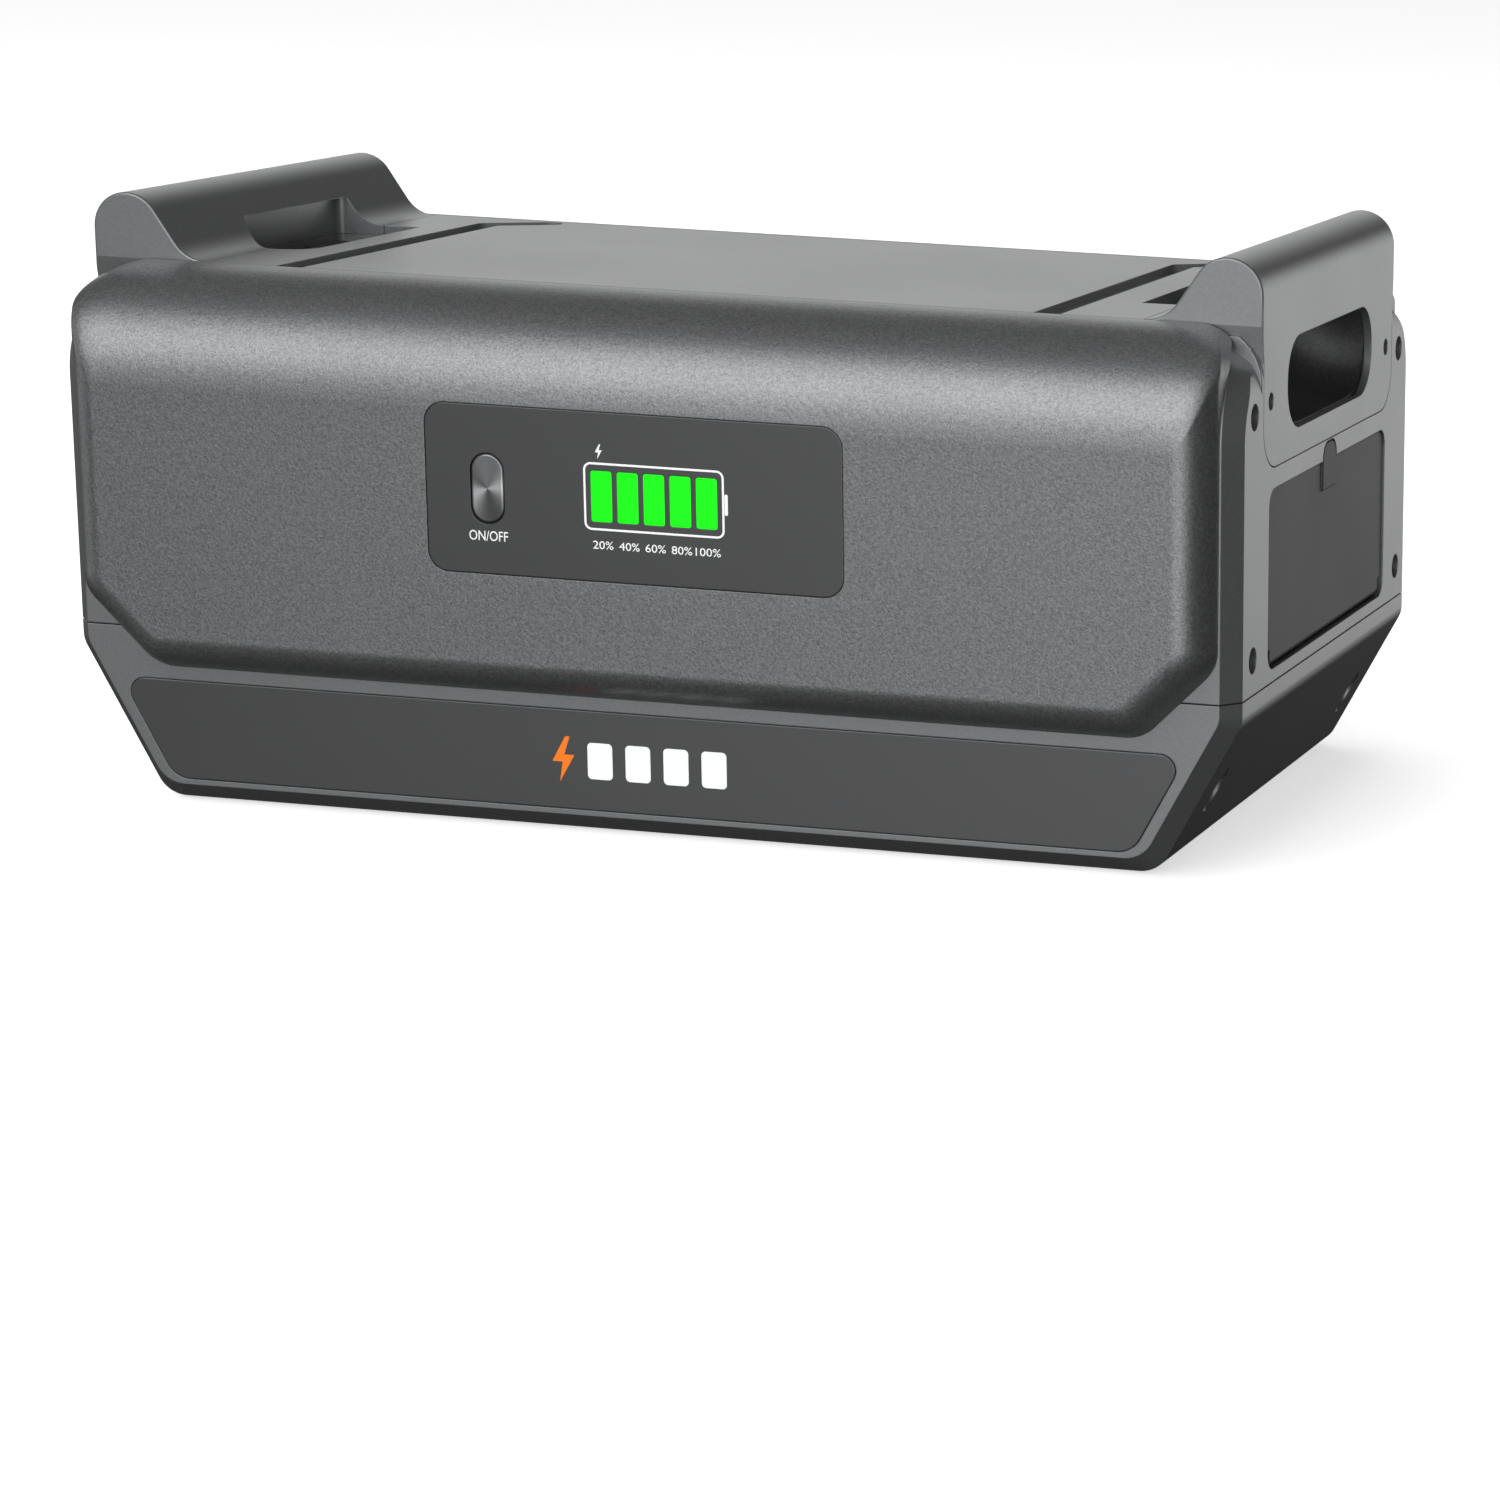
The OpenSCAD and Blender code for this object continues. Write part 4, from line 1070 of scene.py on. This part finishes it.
KEPT_NODES = {
    "handle_screws": STEEL, "case_screws": BLACK_STEEL, "base_screws": BLACK_STEEL, "shell_gasket": RUBBER,
    "button_guide": BLACK_PART, "power_switch": BLACK_PART, "light_guide_holder": WHITE_PLASTIC,
    "display_board": BOARD_GREEN, "display_leds": WHITE_PLASTIC, "display_screws": STEEL,
    "display_cable": RUBBER, "door_pin": STEEL, "port_tray": DARK_GRAIN_AND_SHADE, "expansion_sockets": BLACK_PART,
    "socket_contacts": BRASS, "socket_screws": STEEL, "left_cells": CELL_BLUE, "right_cells": CELL_BLUE,
    "end_plates": ALUMINIUM, "pack_straps": STEEL, "cell_busbars": COPPER, "insulation_sheet": WHITE_PLASTIC,
    "bms_board": BOARD_GREEN, "bms_components": BLACK_PART, "heat_sink": ALUMINIUM, "board_standoffs": STEEL,
    "main_fuse": CERAMIC, "positive_cable": CABLE_RED, "negative_cable": RUBBER, "cell_pads": RUBBER}


def paint_kept_nodes():
    """Materials for the CAD meshes that have no visual piece of their own."""
    for node, material in KEPT_NODES.items():
        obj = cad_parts[node]
        obj.data.materials.clear()
        obj.data.materials.append(material)
        obj.data.polygons.foreach_set("use_smooth", [True] * len(obj.data.polygons))
        obj.data.set_sharp_from_angle(angle=math.radians(30))


# ---------- studio ----------

def make_floor():
    """White floor that only the camera sees; what the battery reflects comes from the world alone."""
    material, nodes, shader, coords, output = new_material("floor_white")
    tone = nodes.mix_colour(nodes.noise(coords, 6.0, 2.0), grey(0.88, (1, 1, 1)), grey(0.90, (1, 1, 1)))
    nodes.tree.links.new(tone, shader.inputs["Base Color"])
    shader.inputs["Roughness"].default_value = 0.9
    shader.inputs["Specular IOR Level"].default_value = 0.0
    shader.inputs["Emission Color"].default_value = (1, 1, 1, 1)
    shader.inputs["Emission Strength"].default_value = 0.62
    seen = nodes.add("ShaderNodeLightPath").outputs["Is Camera Ray"]
    clear = nodes.add("ShaderNodeBsdfTransparent").outputs[0]
    mixed = nodes.add("ShaderNodeMixShader", {0: seen, 1: clear, 2: shader.outputs[0]}).outputs[0]
    nodes.tree.links.new(mixed, output.inputs["Surface"])
    floor = block("studio_floor", (-9000, 9000), (-9000, 9000), (-20, 0))
    floor.data.materials.append(material)


def area_light(name, place, target, size, power):
    """A soft panel that lights the battery but isn't mirrored in it."""
    light = bpy.data.lights.new(name, "AREA")
    light.shape = "RECTANGLE"
    light.size, light.size_y = size
    light.energy = power
    obj = bpy.data.objects.new(name, light)
    bpy.context.scene.collection.objects.link(obj)
    obj.location = place
    obj.rotation_euler = (Vector(target) - Vector(place)).to_track_quat("-Z", "Y").to_euler()
    obj.visible_glossy = False


WORLD_BASE = 0.03
WORLD_PATCHES = [
    # direction, brightness, degrees of the full core, degrees where it has faded out
    ((0.20, -0.97, 0.00), 1.38, 8, 50),
    ((0.34, -0.92, -0.10), 0.35, 6, 22),
    ((-0.35, -0.70, 0.625), 2.25, 9, 30),
    ((-0.37, 0.91, 0.17), 0.86, 12, 32),
    ((0.37, 0.91, -0.16), 1.17, 9, 25),
    ((-0.98, -0.10, 0.00), 0.45, 8, 34),
]
HORIZON = (-0.36, -0.13)


def make_world():
    """The reflections of a product tent: soft bright patches at chosen directions, dark below the horizon."""
    world = bpy.data.worlds.new("studio")
    bpy.context.scene.world = world
    world.use_nodes = True
    world.node_tree.nodes.clear()
    nodes = Nodes(world.node_tree)
    direction = nodes.add("ShaderNodeTexCoord").outputs["Generated"]

    def ramp(value, low, high, a, b):
        return nodes.add("ShaderNodeMapRange", {"Value": value, "From Min": low, "From Max": high,
                                                "To Min": a, "To Max": b},
                         interpolation_type="SMOOTHSTEP").outputs[0]

    total = WORLD_BASE
    for toward, level, core_deg, edge_deg in WORLD_PATCHES:
        closeness = nodes.add("ShaderNodeVectorMath", {0: direction, 1: Vector(toward).normalized()},
                              operation="DOT_PRODUCT").outputs["Value"]
        faded, full = math.cos(math.radians(edge_deg)), math.cos(math.radians(core_deg))
        patch = ramp(closeness, faded, full, 0.0, level)
        total = nodes.maths("ADD", patch, total)
    up = nodes.add("ShaderNodeSeparateXYZ", {"Vector": direction}).outputs["Z"]
    level = nodes.maths("MULTIPLY", total, ramp(up, *HORIZON, 0.12, 1.0))
    seen = nodes.add("ShaderNodeLightPath").outputs["Is Camera Ray"]
    strength = nodes.add("ShaderNodeMix", {"Factor": seen, "A": level, "B": 1.0}).outputs[0]
    background = nodes.add("ShaderNodeBackground", {"Color": (1, 1, 1, 1), "Strength": strength})
    nodes.add("ShaderNodeOutputWorld", {"Surface": background.outputs[0]})


CAMERA_AZIMUTH = 8.342
CAMERA_ELEVATION = 13.518
CAMERA_ROLL = 2.400
CAMERA_PLACE = (0.6585, -1.6019, 0.4012)
CAMERA_LENS = 109.63
CAMERA_LEAN = (0.2479, -0.0164)


def make_camera():
    """The photograph is cut from one side of a wider picture, so the camera looks along a leaning axis.

    The lean sits in the link to a stand, which leaves the camera's own lens straight.
    """
    camera = bpy.data.cameras.new("camera")
    camera.sensor_width = 36
    camera.lens = CAMERA_LENS
    obj = bpy.data.objects.new("camera", camera)
    bpy.context.scene.collection.objects.link(obj)
    turn = Matrix.Rotation(math.radians(CAMERA_AZIMUTH), 4, "Z")
    tilt = Matrix.Rotation(math.radians(90 - CAMERA_ELEVATION), 4, "X")
    roll = Matrix.Rotation(math.radians(CAMERA_ROLL), 4, "Z")
    leaning = (turn @ tilt @ roll).to_3x3()
    leaning.col[2] = (leaning @ Vector((*CAMERA_LEAN, 1))).normalized()
    stand = bpy.data.objects.new("camera_stand", None)
    bpy.context.scene.collection.objects.link(stand)
    obj.parent = stand
    obj.matrix_parent_inverse = Matrix.Translation(CAMERA_PLACE) @ leaning.to_4x4()
    bpy.context.scene.camera = obj


def make_studio():
    make_floor()
    make_world()
    area_light("overhead_softbox", (-0.6, 0.4, 2.6), (0, 0, 0), (3.0, 3.0), 42)
    area_light("front_softbox", (0.2, -2.6, 0.7), (0, 0, 0.12), (1.6, 1.0), 26)
    make_camera()
    bpy.context.scene.view_settings.view_transform = "Standard"


make_base()
make_upper()
make_cover("front_cover_visual", False, ["front_cover"])
make_cover("back_cover_visual", True, ["back_cover"])
make_handle(1, "right_handle_visual", "right_handle")
make_handle(-1, "left_handle_visual", "left_handle")
make_scoop(1, "right_grip_scoop_visual", "right_grip_scoop")
make_scoop(-1, "left_grip_scoop_visual", "left_grip_scoop")
make_name_plate()
make_lens()
make_button()
make_bars()
make_markings()
make_mark()
make_door()
make_pads()
paint_kept_nodes()
make_studio()
